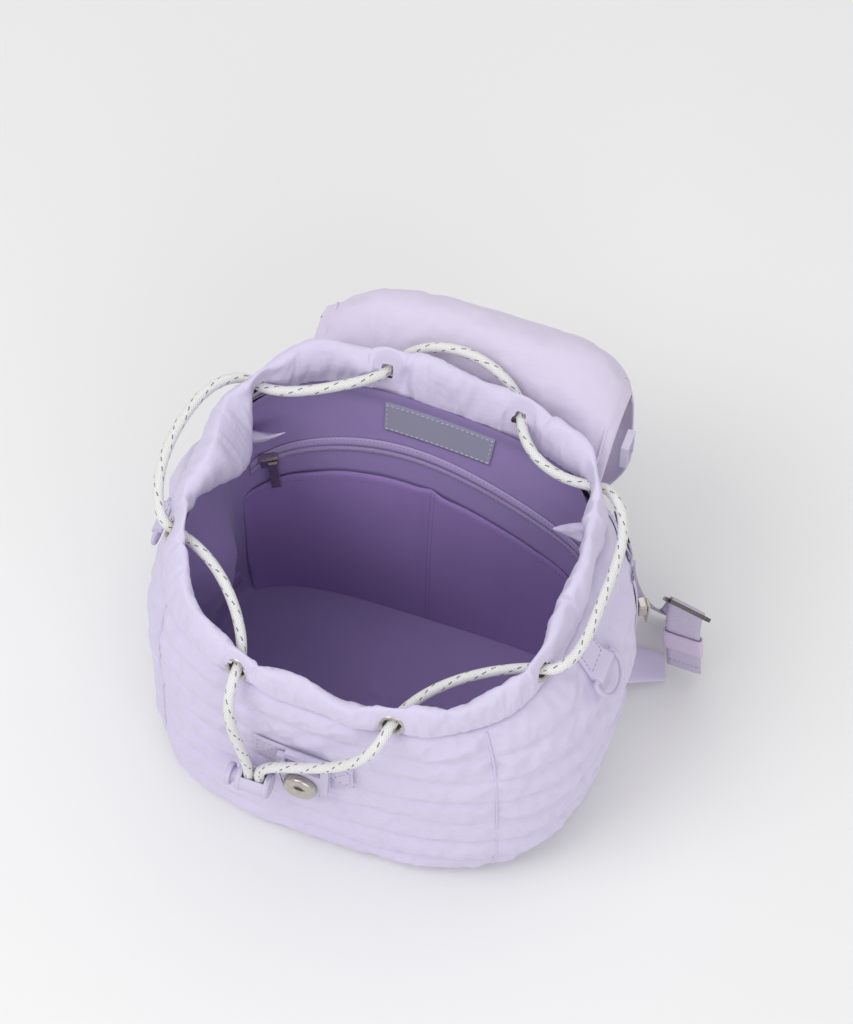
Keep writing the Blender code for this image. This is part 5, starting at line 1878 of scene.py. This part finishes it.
@dataclass
class SideRing:
    """D-ring on a side panel, hanging in the folded end of a sewn tab."""

    wall: Wall
    side: Side
    turn: float
    body: Body
    rise: float = 0.745
    wire: float = 3.8 * MM
    width: float = 29 * MM
    drop: float = 23 * MM
    tab_width: float = 22 * MM
    tab_height: float = 22 * MM
    tab_thickness: float = 2.4 * MM
    sink: float = 0.4 * MM
    shoulder_share: float = 0.16

    def build(self) -> None:
        """Build the ring and its tab."""
        eye = self.wire / 2 + GAP + self.tab_thickness / 2
        stand = eye + 2 * GAP - self.sink
        place = self.wall.place(self.turn, self.rise, stand)
        half, shoulder = self.width / 2, self.drop * self.shoulder_share
        bow = [Vector((half * cos(a), -shoulder - (self.drop - shoulder) * sin(a) ** 0.8, 0))
               for a in [pi * i / 24 for i in range(25)]]
        bar = [Vector((half * s, 0, 0)) for s in (-0.96, -0.5, 0.0, 0.5, 0.96)]
        path = [place @ p for p in bow + bar]
        name = self.side.value
        ring = dress(tube("ring_wire_" + name, path, self.wire / 2, 14, wrap=True), PLASTIC, Slot.PLASTIC)
        seat(ring, "d_ring_" + name, body=self.body)
        half_turn = degrees(self.tab_width / 2 / self.wall.plan(self.turn, self.rise).xy.length)
        climb = self.tab_height / self.wall.rim(self.turn)

        def cloth(x: float, up: float, out: float) -> Vector:
            """Point of the tab's cloth on the wall above the ring."""
            level = self.rise + climb * up
            return self.wall.point(self.turn + half_turn * x, level, GAP - self.sink + out)

        top = self.tab_thickness
        rows = []
        for up, share in ((1.0, 0.0), (1.0, 0.85), (0.96, 1.0), (0.6, 1.12), (0.3, 1.06)):
            rows.append([cloth(x / 6, up, top * share * (1 - 0.12 * abs(x / 6) ** 8))
                         for x in range(-6, 7)])
        for angle in [radians(d) for d in range(70, 291, 20)]:
            y, z = eye * cos(angle), eye * sin(angle)
            rows.append([place @ Vector((x / 6 * self.tab_width / 2, y, z)) for x in range(-6, 7)])
        for up in (0.3, 0.6):
            rows.append([cloth(x / 6, up, 0.0) for x in range(-6, 7)])
        tab = dress(close_ends(grid("ring_tab_" + name, rows, close=True)), SHELL_SMOOTH, Slot.WEBBING)
        seat(tab, "d_ring_tab_" + name)
        needle = Needle(pitch=3.6 * MM, radius=0.35 * MM)
        corners = [(-0.78, 0.3), (0.78, 0.3), (0.78, 0.88), (-0.78, 0.88), (-0.78, 0.3)]
        line = []
        for (xa, ya), (xb, yb) in zip(corners, corners[1:]):
            line += [cloth(xa + (xb - xa) * k / 8, ya + (yb - ya) * k / 8, top * 1.14) for k in range(8)]
        needle.run(line, [place.to_3x3().col[2]] * len(line))
        needle.piece("ring_tab_stitches_" + name, THREAD, Slot.WEBBING)
        log.info("ring %s", name)


@dataclass
class ShoulderStrap:
    """Shoulder strap: sewn tab, ribbed webbing, slide buckle, keeper and wing."""

    wall: Wall
    side: Side
    tab: tuple[float, float]
    behind: tuple[Colour, ...]
    buckle: Colour
    front: tuple[Colour, ...]
    wing: tuple[Colour, ...]
    wing_across: Colour
    across: Vector = field(default_factory=lambda: Vector((0.968, -0.046, -0.244)).normalized())
    up: Vector = field(default_factory=lambda: Vector((0.186, -0.512, 0.839)))
    width: float = 25 * MM
    webbing: float = 1.6 * MM
    tab_cloth: float = 2 * MM
    buckle_size: Vector = field(default_factory=lambda: Vector((34, 26, 2.8)) * MM)
    slot_size: tuple[float, float] = (27 * MM, 7 * MM)
    bar: float = 4 * MM
    # Each pair is the size at the base and what it loses on the way to the webbing.
    wing_half: tuple[float, float] = (17 * MM, 6 * MM)
    wing_padding: tuple[float, float] = (3.6 * MM, 2 * MM)
    end_stitches: float = 9 * MM
    keeper_half: float = 11 * MM
    keeper_cloth: float = 1.2 * MM
    keeper_ease: float = 0.7 * MM

    def build(self) -> None:
        """Build and dress the whole strap."""
        self.build_tab()
        hung, level, down = self.build_webbing()
        self.build_keeper(hung, level, down)
        self.build_wing()
        log.info("strap %s", self.side.value)

    def build_wing(self) -> None:
        """Padded wing that narrows from the base to the webbing."""
        path = curve_through([Vector(p) * MM for p in self.wing], 12)
        last = len(path) - 1
        across = Vector(self.wing_across).normalized()
        rows = [[] for _ in range(28)]
        for i, p in enumerate(path):
            share = i / last
            ahead = (path[min(i + 1, last)] - path[max(i - 1, 0)]).normalized()
            face = ahead.cross(across).normalized()
            half = self.wing_half[0] - self.wing_half[1] * share
            thick = self.wing_padding[0] - self.wing_padding[1] * share
            for k, row in enumerate(rows):
                a = 2 * pi * k / len(rows)
                x, z = cos(a), sin(a)
                spot = p + across * half * x
                fold = 0.4 - 2 * abs(wrinkle(Vector((spot.x * 0.3, spot.y, spot.z)), 70, 6.0))
                row.append(spot + face * z * thick * (1 + 0.5 * fold))
        wing = close_ends(grid("wing_cloth_" + self.side.value, rows, close=True))
        soften(dress(wing, SHELL_SMOOTH, Slot.SHELL))
        seat(wing, "strap_wing_" + self.side.value)

    def build_tab(self) -> None:
        """Sewn tab that holds the webbing's top."""
        turn, rise = self.tab

        def point(u: float, v: float, out: float) -> Vector:
            """Point of the tab."""
            return self.wall.point(turn - 5 + 10 * u, rise - 0.03 + 0.08 * v, GAP + out)

        cloth = self.tab_cloth
        rows = []
        for v, share in ((0.0, 0.0), (0.0, 0.8), (0.08, 1.0), (0.5, 1.05),
                         (0.92, 1.0), (1.0, 0.8), (1.0, 0.0)):
            rows.append([point(j / 16, v, cloth * share) for j in range(17)])
        tab = dress(grid("sewn_tab_" + self.side.value, rows), SHELL_SMOOTH, Slot.SHELL)
        seat(tab, "strap_tab_" + self.side.value)
        needle = Needle()
        steps = [k / 16 for k in range(17)]
        outward = self.wall.outward(turn, rise)
        for v in (0.12, 0.88):
            needle.run([point(s, v, cloth * 1.05) for s in steps], [outward] * len(steps))
        needle.piece("tab_stitches_" + self.side.value, THREAD, Slot.SHELL)

    def build_webbing(self) -> tuple[Points, Vector, Vector]:
        """Webbing over the buckle.

        Returns:
            The hanging end's points, its width's direction and its own direction.
        """
        across = self.across
        up = (self.up - across * self.up.dot(across)).normalized()
        back = across.cross(up)
        back = back if back.y > 0 else -back
        middle = (self.bar + self.slot_size[1]) / 2
        lift = (self.buckle_size.z + self.webbing) / 2 + GAP
        turn, rise = self.tab
        top = [self.wall.place(turn, rise + above, 3.6 * GAP + self.tab_cloth + self.webbing / 2)
               for above in (0.03, -0.04, -0.10)]
        sewn = top[0].to_3x3().col[0]
        sewn = sewn if sewn.dot(across) > 0 else -sewn
        behind = [Vector(p) * MM for p in self.behind]
        centre = Vector(self.buckle) * MM
        over = [
            centre + back * lift - up * 14 * MM, centre + back * lift - up * 2 * MM,
            centre + back * (lift - 0.6 * MM) + up * middle * 0.6,
            centre + up * middle, centre - back * 3 * MM + up * middle * 0.55,
        ]
        hung = [Vector(p) * MM for p in self.front]
        down = (hung[2] - hung[1]).normalized()
        level = (across - down * across.dot(down)).normalized()
        path = [place.translation for place in top] + behind + over + hung
        widths = [sewn] * len(top) + [across] * len(behind + over) + [level] * len(hung)
        name = self.side.value
        needle = Needle(length=2.4 * MM, pitch=3.2 * MM)
        face = down.cross(level).normalized()
        face = face if face.y < 0 else -face
        end = hung[-1] - down * self.end_stitches + face * (self.webbing / 2 + 0.1 * MM)
        line = [end + level * self.width * (k / 12 - 0.5) * 0.9 for k in range(13)]
        needle.run(line, [face] * len(line))
        needle.piece("webbing_end_stitches_" + name, THREAD, Slot.WEBBING)
        webbing = Ribbon(self.width, self.webbing, 12).lay("ribbed_webbing_" + name, path, widths)
        dress(webbing, WEBBING, Slot.WEBBING)
        seat(webbing, "strap_webbing_" + name)
        lie = Matrix((across, up, across.cross(up))).transposed().to_4x4()
        lie.translation = centre
        slots = [(0.0, sign * middle, *self.slot_size) for sign in (-1, 1)]
        slide = plate("slide_" + name, self.buckle_size, lie, slots, 0.7 * MM, 3 * MM)
        # The slide's near-black nickel tint is a painted dark reflection.
        dress(slide, NICKEL_PAINTED_DARK, Slot.NICKEL)
        seat(slide, "strap_buckle_" + name)
        return hung, level, down

    def build_keeper(self, hung: Points, level: Vector, down: Vector) -> None:
        """Smooth band round the hanging webbing.

        Args:
            hung: The hanging end's points.
            level: The direction of its width.
            down: The direction that it hangs in.
        """
        face = down.cross(level)
        middle = (hung[1] + hung[2]) / 2
        half_x = self.width / 2 + GAP + self.keeper_ease
        half_y = self.webbing / 2 + 2 * GAP + self.keeper_ease
        loop = []
        for k in range(32):
            a = 2 * pi * k / 32
            c, s = cos(a), sin(a)
            x = half_x * abs(c) ** 0.25 * (1 if c >= 0 else -1)
            y = half_y * abs(s) ** 0.5 * (1 if s >= 0 else -1)
            loop.append((x, y))
        rows = []
        for k in range(9):
            t = -1 + k / 4
            swell = 1 + 0.02 * (1 - t**2)
            along = middle + down * t * self.keeper_half
            rows.append([along + level * x * swell + face * y * swell for x, y in loop])
        name = self.side.value
        keeper = dress(grid("keeper_band_" + name, rows, wrap=True), KEEPER_CLOTH, Slot.LID)
        solidify(keeper, self.keeper_cloth)
        seat(keeper, "strap_keeper_" + name)


@dataclass
class SideZip:
    """Upright zip near the right back edge."""

    wall: Wall
    turn: float = 22.5
    rises: tuple[float, float] = (0.16, 0.70)

    def point(self, u: float, v: float, out: float) -> Vector:
        """Point of the zip: u across it, v up it."""
        rise = self.rises[0] + (self.rises[1] - self.rises[0]) * v
        return self.wall.point(self.turn - 1.5 + 3 * u, rise, GAP + out)

    def build(self) -> None:
        """Build the tape and coil, and dress the slider and pull."""
        rows = []
        for u, out in ((0.0, 0.0), (0.02, 1.0), (0.3, 1.2), (0.42, 0.8), (0.58, 0.8), (0.7, 1.2),
                       (0.98, 1.0), (1.0, 0.0)):
            rows.append([self.point(u, i / 60, out * MM) for i in range(61)])
        tape = dress(grid("side_zip_tape", rows), SIDE_TAPE, Slot.WEBBING)
        seat(tape, "side_zip")
        coil = Needle(length=1.8 * MM, pitch=1.3 * MM, radius=0.4 * MM)
        outward = self.wall.outward(self.turn, 0.45)
        total = path_length([self.point(0.5, v / 20, 0) for v in range(21)])
        for k in range(int(total / coil.pitch)):
            v = (k + 0.5) * coil.pitch / total
            middle = self.point(0.5, v, 1.1 * MM)
            coil.stitch(middle, (self.point(0.6, v, 1.1 * MM) - middle).normalized(), outward)
        coil.piece("side_zip_coil", THREAD, Slot.WEBBING)
        for node in ("side_zip_slider", "side_zip_pull"):
            dress(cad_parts[node], NICKEL)
        log.info("side zip")


def main() -> None:
    """Build every piece in order and note the sizes."""
    logging.basicConfig(level=logging.INFO, format="%(name)s: %(message)s")
    studio = Studio()
    studio.set_camera()
    eyelets = Eyelets()
    eyelets.measure()
    Drawcord().build(eyelets)
    eyelets.build()
    CordLock().build()
    body = QuiltedBody(WALL)
    body.build_skin()
    body.build_stitches()
    body.build_base()
    body.build_band(eyelets)
    body.build_tips()
    Interior(WALL).build()
    Lid(WALL).build()
    FrontClosure(WALL).build()
    SideRing(WALL, Side.RIGHT, -4.0, Body.RING_RIGHT).build()
    SideRing(WALL, Side.LEFT, 184.0, Body.RING_LEFT).build()
    ShoulderStrap(
        WALL, Side.RIGHT, (31.0, 0.74),
        ((134, 97, 128), (134, 106, 95), (140, 116, 55), (151, 128, 22), (162, 136, 6),
         (172, 130, 14), (178, 119, 44)),
        (184.6, 100, 79),
        ((185, 93.5, 64), (186, 94.3, 51), (187, 95.1, 38), (188, 95.9, 25), (189.4, 97, 6)),
        ((147, 82, 13), (160, 87, 10), (176.7, 93, 7.6)), (-0.33, 0.92, 0.05),
    ).build()
    ShoulderStrap(
        WALL, Side.LEFT, (154.0, 0.76),
        ((-136, 97, 128), (-136, 106, 95), (-137, 116, 55), (-138, 128, 22), (-141, 136, 6),
         (-145, 130, 14), (-150, 119, 44)),
        (-152, 102, 79),
        ((-152, 95.5, 64), (-152, 96.3, 51), (-152, 97.1, 38), (-152, 97.9, 25), (-152, 99, 6)),
        ((-122, 86, 13), (-130, 89, 10), (-139.2, 95, 6.5)), (0.33, 0.92, 0.05),
    ).build()
    SideZip(WALL).build()
    studio.light_and_floor()


if __name__ == "__main__":
    main()
